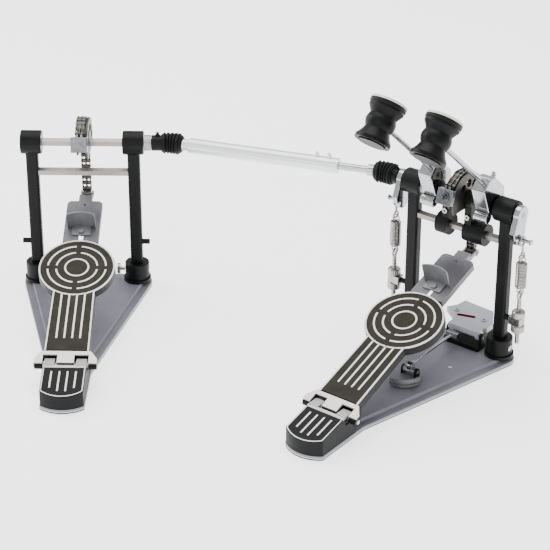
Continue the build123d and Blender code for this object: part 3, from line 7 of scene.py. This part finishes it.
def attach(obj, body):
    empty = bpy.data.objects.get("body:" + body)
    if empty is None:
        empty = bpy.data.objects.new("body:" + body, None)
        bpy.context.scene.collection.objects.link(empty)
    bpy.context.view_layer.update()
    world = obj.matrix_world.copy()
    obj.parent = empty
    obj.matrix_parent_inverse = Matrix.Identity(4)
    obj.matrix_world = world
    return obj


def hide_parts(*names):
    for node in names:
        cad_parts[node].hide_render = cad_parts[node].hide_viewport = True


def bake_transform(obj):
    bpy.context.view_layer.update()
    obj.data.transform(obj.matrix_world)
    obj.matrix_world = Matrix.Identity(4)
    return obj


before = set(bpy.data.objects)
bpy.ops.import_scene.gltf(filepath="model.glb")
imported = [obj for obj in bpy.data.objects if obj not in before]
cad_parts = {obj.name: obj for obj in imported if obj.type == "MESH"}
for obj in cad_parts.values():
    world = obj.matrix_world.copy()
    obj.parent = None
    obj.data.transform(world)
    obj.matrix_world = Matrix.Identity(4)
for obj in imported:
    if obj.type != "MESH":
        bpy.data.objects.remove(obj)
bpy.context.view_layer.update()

# Camera. A long lens stands to the player's right, above the pedals, and looks down
# across both stations.
camera = bpy.data.objects.new("camera", bpy.data.cameras.new("camera"))
camera.data.sensor_width = 36
camera.data.lens = 130.2
camera.data.shift_x = 0.0761
camera.data.shift_y = -0.0634
camera.data.clip_end = 50
look = Matrix.Rotation(radians(38.67), 4, "Z") @ Matrix.Rotation(radians(62.87), 4, "X")
roll = Matrix.Rotation(radians(-0.47), 4, "Z")
camera.matrix_world = Matrix.Translation((1.1427, -1.8719, 1.2641)) @ look @ roll
bpy.context.collection.objects.link(camera)
bpy.context.scene.camera = camera

# Floor and light. A seamless white table that glows a little, under large softboxes, brightest
# from the left and overhead, so that the shadows fall short and pale to the right.
room = bpy.data.worlds.new("studio")
room.use_nodes = True
room.node_tree.nodes["Background"].inputs["Color"].default_value = (1, 1, 1, 1)
room.node_tree.nodes["Background"].inputs["Strength"].default_value = 1.0
bpy.context.scene.world = room


def softbox(name, place, aim, width, height, power):
    lamp = bpy.data.lights.new(name, "AREA")
    lamp.shape = "RECTANGLE"
    lamp.size = width
    lamp.size_y = height
    lamp.energy = power
    holder = bpy.data.objects.new(name, lamp)
    away = Vector(place) - Vector(aim)
    holder.matrix_world = Matrix.Translation(place) @ away.to_track_quat("Z", "Y").to_matrix().to_4x4()
    bpy.context.collection.objects.link(holder)


softbox("overhead", (-0.4, 0.2, 1.9), (-0.2, -0.1, 0), 1.6, 1.6, 34)
softbox("left_window", (-2.0, -0.6, 1.1), (-0.2, -0.1, 0.1), 1.0, 1.4, 30)
softbox("front_fill", (0.4, -2.4, 1.3), (-0.2, -0.1, 0.1), 1.4, 1.0, 14)

table = bmesh.new()
bmesh.ops.create_grid(table, x_segments=1, y_segments=1, size=6)
table_mesh = bpy.data.meshes.new("floor")
table.to_mesh(table_mesh)
floor = bpy.data.objects.new("floor", table_mesh)
bpy.context.collection.objects.link(floor)
white_card = bpy.data.materials.new("white_card")
white_card.use_nodes = True
card_shader = white_card.node_tree.nodes["Principled BSDF"]
card_shader.inputs["Roughness"].default_value = 0.9
card_shader.inputs["Emission Color"].default_value = (1, 1, 1, 1)
card_shader.inputs["Emission Strength"].default_value = 1.6
card_grain = white_card.node_tree.nodes.new("ShaderNodeTexNoise")
card_grain.inputs["Scale"].default_value = 3
card_tone = white_card.node_tree.nodes.new("ShaderNodeValToRGB")
card_tone.color_ramp.elements[0].color = (0.93, 0.93, 0.93, 1)
card_tone.color_ramp.elements[1].color = (0.96, 0.96, 0.96, 1)
white_card.node_tree.links.new(card_grain.outputs["Fac"], card_tone.inputs["Fac"])
white_card.node_tree.links.new(card_tone.outputs["Color"], card_shader.inputs["Base Color"])
floor.data.materials.append(white_card)


# Black castings. Posts, sockets, bearing arms, clamp body and yokes are cast zinc under a
# satin black powder coat with a fine orange peel.
def finish(
    name, light, dark, metal, smooth, rough, grain, bump, depth=0.00004, stretch=(1, 1, 1), speck=0.5
):
    """A finish on Object coordinates: two tones, an uneven gloss and a fine relief."""
    material = bpy.data.materials.new(name)
    material.use_nodes = True
    tree = material.node_tree
    shader = tree.nodes["Principled BSDF"]
    shader.inputs["Metallic"].default_value = metal
    shader.inputs["Specular IOR Level"].default_value = 0.15 if metal < 0.2 else 0.5
    where = tree.nodes.new("ShaderNodeTexCoord")
    squeeze = tree.nodes.new("ShaderNodeMapping")
    squeeze.inputs["Scale"].default_value = stretch
    tree.links.new(where.outputs["Object"], squeeze.inputs["Vector"])
    fine = tree.nodes.new("ShaderNodeTexNoise")
    fine.inputs["Scale"].default_value = grain
    fine.inputs["Detail"].default_value = 4
    tree.links.new(squeeze.outputs["Vector"], fine.inputs["Vector"])
    broad = tree.nodes.new("ShaderNodeTexNoise")
    broad.inputs["Scale"].default_value = grain * 0.05
    broad.inputs["Detail"].default_value = 3
    tree.links.new(where.outputs["Object"], broad.inputs["Vector"])
    blend = tree.nodes.new("ShaderNodeMix")
    blend.inputs["Factor"].default_value = speck
    tree.links.new(fine.outputs["Fac"], blend.inputs["A"])
    tree.links.new(broad.outputs["Fac"], blend.inputs["B"])
    tone = tree.nodes.new("ShaderNodeValToRGB")
    tone.color_ramp.elements[0].position = 0.35
    tone.color_ramp.elements[0].color = (*dark, 1)
    tone.color_ramp.elements[1].position = 0.65
    tone.color_ramp.elements[1].color = (*light, 1)
    tree.links.new(blend.outputs["Result"], tone.inputs["Fac"])
    tree.links.new(tone.outputs["Color"], shader.inputs["Base Color"])
    gloss = tree.nodes.new("ShaderNodeMapRange")
    gloss.inputs["From Min"].default_value = 0.3
    gloss.inputs["From Max"].default_value = 0.7
    gloss.inputs["To Min"].default_value = smooth
    gloss.inputs["To Max"].default_value = rough
    tree.links.new(blend.outputs["Result"], gloss.inputs["Value"])
    tree.links.new(gloss.outputs["Result"], shader.inputs["Roughness"])
    relief = tree.nodes.new("ShaderNodeBump")
    relief.inputs["Strength"].default_value = bump
    relief.inputs["Distance"].default_value = depth
    tree.links.new(fine.outputs["Fac"], relief.inputs["Height"])
    tree.links.new(relief.outputs["Normal"], shader.inputs["Normal"])
    return material


def coat(material, *nodes):
    """Put a finish on CAD nodes."""
    for node in nodes:
        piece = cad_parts[node]
        piece.data.materials.clear()
        piece.data.materials.append(material)


powder_black = finish(
    "powder_black", (0.0036, 0.0040, 0.0044), (0.0018, 0.0020, 0.0023), 0.0, 0.36, 0.5, 1400, 0.5
)
coat(
    powder_black, "main_posts", "slave_posts", "main_post_sockets", "slave_post_sockets",
    "center_arms", "clamp_base", "main_yoke", "slave_yoke",
)

# Base plates. Pressed steel in a lavender-grey satin lacquer. A black rubber foot shows round the lowest edge
# of the skirt. Just above it, a thin bright band is a painted highlight where the skirt's fold catches the
# light.
def banded(material, name, levels):
    """A copy of a finish that takes other tones where Object Z is below each level, lowest last."""
    copy = material.copy()
    copy.name = name
    tree = copy.node_tree
    shader = tree.nodes["Principled BSDF"]
    where = tree.nodes.new("ShaderNodeTexCoord")
    axes = tree.nodes.new("ShaderNodeSeparateXYZ")
    tree.links.new(where.outputs["Object"], axes.inputs["Vector"])
    for level, tone, rough in levels:
        below = tree.nodes.new("ShaderNodeMath")
        below.operation = "LESS_THAN"
        below.inputs[1].default_value = level
        tree.links.new(axes.outputs["Z"], below.inputs[0])
        for socket, value in (("Base Color", (*tone, 1)), ("Roughness", rough)):
            mix = tree.nodes.new("ShaderNodeMix")
            mix.data_type = "RGBA" if socket == "Base Color" else "FLOAT"
            low, high = (6, 7) if socket == "Base Color" else (2, 3)
            mix.inputs[high].default_value = value
            tree.links.new(shader.inputs[socket].links[0].from_socket, mix.inputs[low])
            tree.links.new(below.outputs["Value"], mix.inputs["Factor"])
            result = mix.outputs[2 if socket == "Base Color" else 0]
            tree.links.new(result, shader.inputs[socket])
    return copy


plate_paint = finish("plate_paint", (0.215, 0.215, 0.255), (0.175, 0.175, 0.212), 0.35, 0.36, 0.48, 900, 0.3)
plate_rubber_and_highlight = banded(
    plate_paint,
    "plate_paint_rubber_and_painted_highlight",
    # The 0.62 grey band from 1.8 to 2.7 mm is a painted highlight along the skirt's fold. The black band
    # below 1.8 mm is the rubber foot.
    ((0.0027, (0.62, 0.62, 0.63), 0.3), (0.0018, (0.012, 0.012, 0.012), 0.7)),
)
coat(plate_rubber_and_highlight, "main_base_plate", "slave_base_plate")

# Heel rests. Glass-filled nylon blocks moulded in black, with a faint spark texture. A light
# metal frame is inlaid round the tread, with its bar and lug caps at the hinge, and four
# bright ribs lie along the tread.
nylon = finish("heel_nylon", (0.0060, 0.0063, 0.0069), (0.0032, 0.0035, 0.0039), 0.0, 0.44, 0.58, 1800, 0.6)
stations = (
    ("main", Matrix.Identity(4)),
    ("slave", Matrix.Translation((-0.4725, -0.1636, 0)) @ Matrix.Rotation(radians(36.35), 4, "Z")),
)


def toned_beyond(material, name, station, direction, distance, tone, rough, metal, floor_z=-1.0):
    """A copy of a finish that turns to another tone past a distance along a station direction."""
    copy = material.copy()
    copy.name = name
    tree = copy.node_tree
    shader = tree.nodes["Principled BSDF"]
    heading = station.to_3x3() @ Vector(direction).normalized()
    where = tree.nodes.new("ShaderNodeTexCoord")
    along = tree.nodes.new("ShaderNodeVectorMath")
    along.operation = "DOT_PRODUCT"
    along.inputs[1].default_value = heading
    tree.links.new(where.outputs["Object"], along.inputs[0])
    beyond = tree.nodes.new("ShaderNodeMath")
    beyond.operation = "GREATER_THAN"
    beyond.inputs[1].default_value = distance + heading.dot(station.translation)
    tree.links.new(along.outputs["Value"], beyond.inputs[0])
    axes = tree.nodes.new("ShaderNodeSeparateXYZ")
    tree.links.new(where.outputs["Object"], axes.inputs["Vector"])
    above = tree.nodes.new("ShaderNodeMath")
    above.operation = "GREATER_THAN"
    above.inputs[1].default_value = floor_z
    tree.links.new(axes.outputs["Z"], above.inputs[0])
    both = tree.nodes.new("ShaderNodeMath")
    both.operation = "MULTIPLY"
    tree.links.new(beyond.outputs["Value"], both.inputs[0])
    tree.links.new(above.outputs["Value"], both.inputs[1])
    grain = tree.nodes.new("ShaderNodeTexNoise")
    grain.inputs["Scale"].default_value = 60
    grain.inputs["Detail"].default_value = 5
    tree.links.new(where.outputs["Object"], grain.inputs["Vector"])
    shade = tree.nodes.new("ShaderNodeValToRGB")
    shade.color_ramp.elements[0].color = (*(0.8 * c for c in tone), 1)
    shade.color_ramp.elements[1].color = (*(1.15 * c for c in tone), 1)
    tree.links.new(grain.outputs["Fac"], shade.inputs["Fac"])
    colour = tree.nodes.new("ShaderNodeMix")
    colour.data_type = "RGBA"
    tree.links.new(both.outputs["Value"], colour.inputs["Factor"])
    tree.links.new(shader.inputs["Base Color"].links[0].from_socket, colour.inputs[6])
    tree.links.new(shade.outputs["Color"], colour.inputs[7])
    tree.links.new(colour.outputs[2], shader.inputs["Base Color"])
    base_metal = shader.inputs["Metallic"].default_value
    for socket, low, high in (("Roughness", None, rough), ("Metallic", base_metal, metal)):
        mix = tree.nodes.new("ShaderNodeMix")
        tree.links.new(both.outputs["Value"], mix.inputs["Factor"])
        mix.inputs["B"].default_value = high
        if low is None:
            tree.links.new(shader.inputs[socket].links[0].from_socket, mix.inputs["A"])
        else:
            mix.inputs["A"].default_value = low
        tree.links.new(mix.outputs["Result"], shader.inputs[socket])
    return copy


def ribbon(shape, edge_a, edge_b, low, high, closed=False):
    """A raised strip between two matching edges of (x, y) points, in millimetres."""
    rows = [
        [shape.verts.new((x / 1000, y / 1000, z / 1000)) for x, y in edge]
        for edge, z in ((edge_a, low), (edge_a, high), (edge_b, high), (edge_b, low))
    ]
    count = len(edge_a)
    for i in range(count if closed else count - 1):
        j = (i + 1) % count
        for k in range(4):
            m = (k + 1) % 4
            shape.faces.new((rows[k][i], rows[k][j], rows[m][j], rows[m][i]))
    if not closed:
        shape.faces.new([row[0] for row in rows])
        shape.faces.new([row[-1] for row in rows])


def settle(shape, name, matrix, material, body, smooth=40):
    """Turn a finished bmesh into a piece in the row frame that rides on a body."""
    bmesh.ops.recalc_face_normals(shape, faces=shape.faces)
    shape.transform(matrix)
    mesh = bpy.data.meshes.new(name)
    shape.to_mesh(mesh)
    shape.free()
    mesh.materials.append(material)
    for polygon in mesh.polygons:
        polygon.use_smooth = True
    mesh.set_sharp_from_angle(angle=radians(smooth))
    piece = bpy.data.objects.new(name, mesh)
    bpy.context.collection.objects.link(piece)
    if body:
        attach(piece, body)
    return piece


heel_half_width = 26.5
edge_rear = -278.2
corner_radius = 4
corner_x = 22.5
corner_y = -315.13
corner_turn = -51.4
front_radius = 40.1
front_centre = -286.9


def heel_edge(inset):
    """Plan of the heel tread, inset from the block's edge, as (x, y) in millimetres."""
    half = [(heel_half_width - inset, edge_rear)]
    for k in range(7):
        a = radians(corner_turn * k / 6)
        reach = corner_radius - inset
        half.append((corner_x + reach * cos(a), corner_y + reach * sin(a)))
    for k in range(1, 13):
        a = radians(corner_turn - (90 + corner_turn) * k / 12)
        reach = front_radius - inset
        half.append((reach * cos(a), front_centre + reach * sin(a)))
    return half + [(-x, y) for x, y in reversed(half[:-1])]


tread_slope = Matrix(((1, 0, 0, 0), (0, 1, 0, 0), (0, 0.2294, 1, 0.0985), (0, 0, 0, 1)))
bar_line = -0.2775
bar_floor = 0.0335
rib_half = 1.05
rib_rear = -284
# The same silver also draws the painted highlights along the footboard's and pad's edges.
silver_line_and_edge_highlight = finish("silver_line_and_edge_highlight", (0.74, 0.73, 0.69), (0.62, 0.61, 0.57), 0.35, 0.3, 0.46, 1300, 0.4)
for side, station in stations:
    coat(
        toned_beyond(
            nylon, f"{side}_heel_nylon", station, (0, 1, 0), bar_line, (0.50, 0.50, 0.50), 0.4, 0.5,
            floor_z=bar_floor,
        ),
        f"{side}_heel_block",
    )
    frame_line = bmesh.new()
    ribbon(frame_line, heel_edge(0.9), heel_edge(2.2), -0.6, 0.2)
    for x in (-14.9, -4.9, 4.9, 14.9):
        front = -311.5 if abs(x) > 10 else -317.0
        left, right = x - rib_half, x + rib_half
        ribbon(frame_line, [(left, rib_rear), (left, front)], [(right, rib_rear), (right, front)], -0.4, 0.25)
    place = station @ tread_slope
    settle(frame_line, f"{side}_heel_ribs", place, silver_line_and_edge_highlight, f"{side}_frame")

# Rods and axles. Drawn hexagon steel with fine lines along its length.
drawn_steel = finish(
    "drawn_steel", (0.36, 0.33, 0.315), (0.24, 0.22, 0.21), 0.9, 0.3, 0.45, 700, 0.35, stretch=(0.05, 1, 1)
)
coat(drawn_steel, "main_tie_rod", "slave_tie_rod", "main_axle", "left_axle", "slave_axle")

# Footboards. Cast boards, black on the tread and pad, with the toe plate left in bare satin
# metal beyond the pad.
board_black = finish(
    "board_black", (0.0062, 0.0062, 0.0068), (0.0035, 0.0035, 0.0040), 0.1, 0.38, 0.5, 1200, 0.4
)
board_slope = (0, cos(radians(17.9)), sin(radians(17.9)))
toe_line = 0.2065 - 0.265 * cos(radians(17.9)) + 0.0315 * sin(radians(17.9))
for side, station in stations:
    coat(
        toned_beyond(
            board_black, f"{side}_board", station, board_slope, toe_line, (0.155, 0.150, 0.168), 0.4, 0.6
        ),
        f"{side}_footboard",
    )

# Toe stops, clevises and clamp lever. Bent steel with a dull zinc coat.
zinc = finish("dull_zinc", (0.27, 0.275, 0.285), (0.19, 0.195, 0.205), 0.85, 0.36, 0.5, 800, 0.3)
coat(zinc, "main_toe_stop", "slave_toe_stop", "main_clevis", "slave_clevis", "clamp_lever")

# Hinge plates. Steel under an ivory-toned satin nickel.
satin_nickel = finish("satin_nickel", (0.66, 0.645, 0.60), (0.55, 0.535, 0.50), 0.6, 0.3, 0.42, 900, 0.25)
coat(satin_nickel, "main_hinge_plate", "slave_hinge_plate")

# Grip sheets. Fine-grained dark rubber, inlaid on the tread and pad. Raised silver lines stripe the tread and
# ring the pad's centre, and the middle rings run in quarters. The strips along the board's edges and the
# outer ring round the pad are painted highlights on those edges, drawn as the same raised silver.
grip_rubber = finish("grip_rubber", (0.037, 0.034, 0.025), (0.016, 0.015, 0.011), 0.0, 0.62, 0.8, 1500, 0.9)
coat(grip_rubber, "main_grip", "slave_grip")


pad_centre = 158.7
line_half = 1.1
line_low = 5.9
line_top = 6.2
stripe_start = 38
pad_ring_inside = 46.4


def arc(radius, start, end, steps):
    """Points of an arc about the pad's centre, angles in degrees."""
    angles = [radians(start + (end - start) * k / steps) for k in range(steps + 1)]
    return [(radius * cos(a), pad_centre + radius * sin(a)) for a in angles]


board_place = Matrix.Translation((0, -0.265, 0.0315)) @ Matrix.Rotation(radians(17.9), 4, "X")
for side, station in stations:
    lines = bmesh.new()
    # The ring at 47.3 mm, on the pad's edge, is a painted highlight on that edge. The ring at 14.7 mm is a
    # real silver line.
    for radius, width, low in ((47.3, 2.0, 4.6), (14.7, 2.2, line_low)):
        inner = arc(radius - width / 2, 0, 360, 96)[:-1]
        outer = arc(radius + width / 2, 0, 360, 96)[:-1]
        ribbon(lines, inner, outer, low, line_top, closed=True)
    for radius in (37.0, 26.0):
        gap = 3.2 / radius * 180 / pi
        for quarter in (0, 90, 180, 270):
            inner = arc(radius - line_half, quarter + gap, quarter + 90 - gap, 22)
            outer = arc(radius + line_half, quarter + gap, quarter + 90 - gap, 22)
            ribbon(lines, inner, outer, line_low, line_top)
    for x in (-14.6, -4.87, 4.87, 14.6):
        end = pad_centre - (pad_ring_inside**2 - x**2) ** 0.5
        left, right = x - line_half, x + line_half
        one_edge = [(left, stripe_start), (left, end)]
        other_edge = [(right, stripe_start), (right, end)]
        ribbon(lines, one_edge, other_edge, line_low, line_top)
    # These strips along both board edges are painted highlights on the edges, not real silver lines.
    for hand in (-1, 1):
        inside = [(hand * 25.4, 17.2), (hand * 24.1, 118.5)]
        outside = [(hand * 27.3, 17.2), (hand * 26.0, 118.5)]
        ribbon(lines, inside, outside, 4.6, line_top)
    settle(lines, f"{side}_grip_lines_and_edge_highlights", station @ board_place, silver_line_and_edge_highlight, f"{side}_treadle")

# Chains. Oiled duplex roller chain, dark with worn bright spots.
oiled_steel = finish(
    "oiled_steel", (0.20, 0.185, 0.17), (0.035, 0.032, 0.03), 0.9, 0.22, 0.42, 420, 0.3, speck=0.25
)
coat(oiled_steel, "main_chain_wrap", "slave_chain_wrap", "main_chain_run", "slave_chain_run")

# Sprockets. Olive-toned phosphated steel.
phosphate = finish("phosphate", (0.085, 0.080, 0.065), (0.045, 0.042, 0.035), 0.85, 0.34, 0.5, 700, 0.4)
coat(phosphate, "main_sprocket", "slave_sprocket")

# Chrome parts. Hubs, rods, rockers and the inner shaft are polished and plated. The chain clamps
# have a darker, smoked plating.
chrome = finish("chrome", (0.60, 0.61, 0.63), (0.23, 0.235, 0.25), 1.0, 0.06, 0.16, 1500, 0.04, speck=0.12)
coat(
    chrome, "main_beater_hub", "left_beater_hub", "main_beater_rod", "left_beater_rod", "main_rocker",
    "left_rocker", "shaft_rod", "clamp_rod",
)
smoked_chrome = finish("smoked_chrome", (0.24, 0.255, 0.27), (0.12, 0.13, 0.14), 1.0, 0.12, 0.24, 300, 0.08)
coat(smoked_chrome, "main_chain_clamp", "slave_chain_clamp")

# Springs and their bolts. Close-wound wire with a loop at each end stretches between the
# tension bolt's eye and the hook. The bolt is threaded, and its two nuts are knurled.
nickel = finish("bright_nickel", (0.46, 0.445, 0.42), (0.26, 0.25, 0.235), 1.0, 0.16, 0.3, 500, 0.15)
coat(
    nickel, "main_spring_bolt", "left_spring_bolt", "main_spring_hook", "left_spring_hook",
    "main_spring", "left_spring", "main_screws", "slave_screws",
)


def wire(shape, path, radius, sides=8):
    """Sweep a round section along a path of millimetre points."""
    points = [Vector(p) / 1000 for p in path]
    rings = []
    normal = (points[1] - points[0]).orthogonal().normalized()
    for i, point in enumerate(points):
        heading = (points[min(i + 1, len(points) - 1)] - points[max(i - 1, 0)]).normalized()
        normal = (normal - heading * normal.dot(heading)).normalized()
        across = heading.cross(normal)
        ring = []
        for k in range(sides):
            a = 2 * pi * k / sides
            ring.append(shape.verts.new(point + (normal * cos(a) + across * sin(a)) * radius / 1000))
        rings.append(ring)
    for ring, after in zip(rings, rings[1:]):
        for k in range(sides):
            m = (k + 1) % sides
            shape.faces.new((ring[k], ring[m], after[m], after[k]))
    shape.faces.new(rings[0])
    shape.faces.new(rings[-1])


def spring_path(x, y):
    """Lower loop, close-wound body and upper loop of one spring."""
    half = [(x + 4.6 * cos(radians(a)), y, 107.8 + 4.6 * sin(radians(a))) for a in range(120, 431, 10)]
    for k in range(1, 16):
        t = k / 15
        a = radians(300 * t)
        r = 1.57 + 4.53 * (3 * t * t - 2 * t * t * t)
        half.append((x + r * cos(a), y + r * sin(a), 112.1 + 1.2 * t))
    turns = 17
    for k in range(1, turns * 10 + 1):
        a = radians(300 + 18 * k)
        half.append((x + 6.1 * cos(a), y + 6.1 * sin(a), 113.3 + 16.2 * k / (turns * 10)))
    return half + [(2 * x - px, py, 259.0 - pz) for px, py, pz in reversed(half[:-1])]


def teeth(shape, x, y, low, high, radius, depth, count, wall=0.6):
    """A ring of knurls standing on a turned part, axis upright at (x, y)."""
    outline = []
    for k in range(2 * count):
        a = pi * k / count
        r = radius + (depth if k % 2 else 0)
        outline.append((x + r * cos(a), y + r * sin(a)))
    inner = radius - wall
    core = [(x + inner * cos(pi * k / count), y + inner * sin(pi * k / count)) for k in range(2 * count)]
    ribbon(shape, core, outline, low, high, closed=True)


spring_y = -2.7
spring_wire = 0.9
thread_radius = 2.5
thread_pitch = 0.9
for side, x in (("main", 91.5), ("left", -91.5)):
    coil = bmesh.new()
    wire(coil, spring_path(x, spring_y), spring_wire)
    spring = settle(coil, f"{side}_spring_coil", Matrix.Identity(4), nickel, None)
    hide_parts(f"{side}_spring")
    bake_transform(spring)
    dressing = bmesh.new()
    for low, high in ((72.2, 78.8), (52.4, 59.6)):
        teeth(dressing, x, spring_y, low, high, 7.95, 0.35, 30)
    for low, high in ((35.2, 50.5), (80.5, 96.5)):
        steps = int((high - low) * 14)
        turn = [2 * pi * k / 12.6 for k in range(steps)]
        thread = [
            (x + thread_radius * cos(t), spring_y + thread_radius * sin(t), low + thread_pitch * t / (2 * pi))
            for t in turn
        ]
        wire(dressing, thread, 0.32, 5)
    settle(dressing, f"{side}_bolt_dressing", Matrix.Identity(4), nickel, f"{side}_spring_bolt")

# Slave coupling sleeve. A silver knurled collar on the slave axle, between the post and the boot.
sleeve = bmesh.new()
teeth(sleeve, 0, 0, 80.6, 89.2, 9.9, 0.3, 36, wall=5.7)
on_axle = stations[1][1] @ Matrix.Translation((0, 0, 0.2073)) @ Matrix.Rotation(radians(90), 4, "Y")
settle(sleeve, "slave_coupling_sleeve", on_axle, nickel, "slave_axle")

# Beater heads. Black moulded bodies with a soft gloss and a rounded boss round the rod.
head_black = finish(
    "head_black", (0.0030, 0.0033, 0.0036), (0.0015, 0.0017, 0.0020), 0.0, 0.36, 0.5, 600, 0.2
)
coat(head_black, "main_beater_head", "left_beater_head")
boss_half = 9
boss_end_radius = 15.6
boss_swell = 2.9
head_centre = (-0.12847, 0.33986)
head_lean = -41.3
for side, x in (("main", 42), ("left", -34)):
    boss = bmesh.new()
    rings = []
    for step in range(25):
        t = -boss_half + boss_half * step / 12
        radius = (boss_end_radius + boss_swell * cos(pi * t / (2 * boss_half))) / 1000
        angles = [pi * k / 24 for k in range(48)]
        rings.append([boss.verts.new((radius * cos(a), radius * sin(a), t / 1000)) for a in angles])
    for ring, after in zip(rings, rings[1:]):
        for k in range(48):
            m = (k + 1) % 48
            boss.faces.new((ring[k], ring[m], after[m], after[k]))
    boss.faces.new(rings[0])
    boss.faces.new(rings[-1])
    lean = Matrix.Translation((x / 1000, *head_centre)) @ Matrix.Rotation(radians(head_lean), 4, "X")
    settle(boss, f"{side}_head_boss", lean, head_black, f"{side}_axle")

# Beater felts. Hard pressed wool, cream, with a nap, sitting in the black rim of the head.
wool = finish(
    "pressed_wool", (0.80, 0.775, 0.70), (0.66, 0.635, 0.56), 0.0, 0.85, 0.97, 1200, 1.0, depth=0.0004
)
cup_rim = -0.1945
for side in ("main", "left"):
    coat(
        toned_beyond(
            wool, f"{side}_felt_in_cup", Matrix.Identity(4), (0, -0.66, -0.7513), cup_rim,
            (0.005, 0.0054, 0.0058), 0.42, 0.0,
        ),
        f"{side}_beater_felt",
    )

# Boots. Black rubber bellows over the universal joints, which bend between the station and
# the shaft. Five rounded ribs run between a hub cuff and a tapered shaft cuff.
boot_rubber = finish(
    "boot_rubber", (0.0062, 0.0062, 0.0066), (0.0032, 0.0032, 0.0036), 0.0, 0.42, 0.58, 1500, 0.5
)
shaft_way = Vector((-0.942979, -0.332853, 0))
slave_way = Vector((cos(radians(36.35)), sin(radians(36.35)), 0))


def boot_radius(t):
    """Outline of the bellows at t millimetres from the joint, hub side negative."""
    if t < -11.2:
        return 12.0
    if t > 12.2:
        return 12.0 - 3.6 * min(1, (t - 12.2) / 3.6) ** 1.5
    nearest = min(abs(t - rib) for rib in (-9.5, -4.75, 0, 4.75, 9.5))
    return 11.4 + 2.6 * cos(min(1, nearest / 2.375) * pi / 2) ** 0.8


for name, joint, hub_way, way, hub_body, far_body in (
    ("main_boot", Vector((-110.2, 0, 207.3)), Vector((1, 0, 0)), shaft_way, "main_frame", "shaft_elbow"),
    ("slave_boot", Vector((-379.233, -94.963, 207.3)), -slave_way, -shaft_way, "slave_frame", "shaft_slide"),
):
    rubber = bmesh.new()
    rings = []
    samples = [-13 + 0.25 * k for k in range(116)]
    for t in samples:
        u = min(1, max(0, (t + 6) / 12))
        if t < -6:
            centre, heading = joint - hub_way * t, -hub_way
        elif t > 6:
            centre, heading = joint + way * t, way
        else:
            centre = joint + hub_way * 6 * (1 - u) ** 2 + way * 6 * u**2
            heading = (-hub_way * (1 - u) + way * u).normalized()
        upright = Vector((0, 0, 1))
        sideways = heading.cross(upright).normalized()
        ring = []
        for k in range(40):
            a = 2 * pi * k / 40
            outward = sideways * cos(a) + upright * sin(a)
            ring.append(rubber.verts.new((centre + outward * boot_radius(t)) / 1000))
        rings.append(ring)
    for ring, after in zip(rings, rings[1:]):
        for k in range(40):
            m = (k + 1) % 40
            rubber.faces.new((ring[k], ring[m], after[m], after[k]))
    rubber.faces.new(rings[0])
    rubber.faces.new(rings[-1])
    bellows = settle(rubber, f"{name}_bellows", Matrix.Identity(4), boot_rubber, None, 60)
    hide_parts(name)
    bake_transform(bellows)

# Shaft tube. White-silver anodised aluminium.
anodised = finish("anodised_tube", (0.86, 0.87, 0.89), (0.80, 0.81, 0.83), 0.55, 0.28, 0.38, 700, 0.15)
coat(anodised, "shaft_tube")

# Hoop clamp jaw. Pressed steel in the plate's paint, a shade lighter. A red rubber liner sits in its slot.
# Each cap screw has a cross-shaped drive, and the drive's recess is drawn as a thin black cross laid on the
# cap: painted shade of the recess.
jaw_paint = finish("jaw_paint", (0.44, 0.45, 0.50), (0.38, 0.39, 0.43), 0.4, 0.32, 0.44, 900, 0.3)
coat(jaw_paint, "clamp_jaw")
grip_red = finish("grip_red", (0.24, 0.010, 0.015), (0.14, 0.006, 0.010), 0.0, 0.4, 0.55, 900, 0.3)
liner = bmesh.new()
slot_turn = Matrix.Translation((0.006, 0.017, 0)) @ Matrix.Rotation(radians(18), 4, "Z")
loops = []
for half in (2.45, 1.95):
    right = [(9.5 + half * cos(radians(a)), half * sin(radians(a))) for a in range(-90, 91, 15)]
    loops.append(right + [(-x, -y) for x, y in right])
ribbon(liner, loops[0], loops[1], 28.5, 35.3, closed=True)
settle(liner, "clamp_slot_liner", slot_turn, grip_red, "clamp_jaw")
# Thin black crosses on the two cap screws: painted shade standing in for the drive recesses.
drive_shade = bmesh.new()
for x, y in ((-11, 22), (30, 20)):
    for turn in (30, 120):
        c, r = cos(radians(turn)), sin(radians(turn))
        ends = [(x - 2.2 * c, y - 2.2 * r), (x + 2.2 * c, y + 2.2 * r)]
        ribbon(
            drive_shade,
            [(a + 0.45 * r, b - 0.45 * c) for a, b in ends],
            [(a - 0.45 * r, b + 0.45 * c) for a, b in ends],
            36.2,
            36.5,
        )
settle(drive_shade, "clamp_cap_marks", Matrix.Identity(4), boot_rubber, "clamp_jaw")
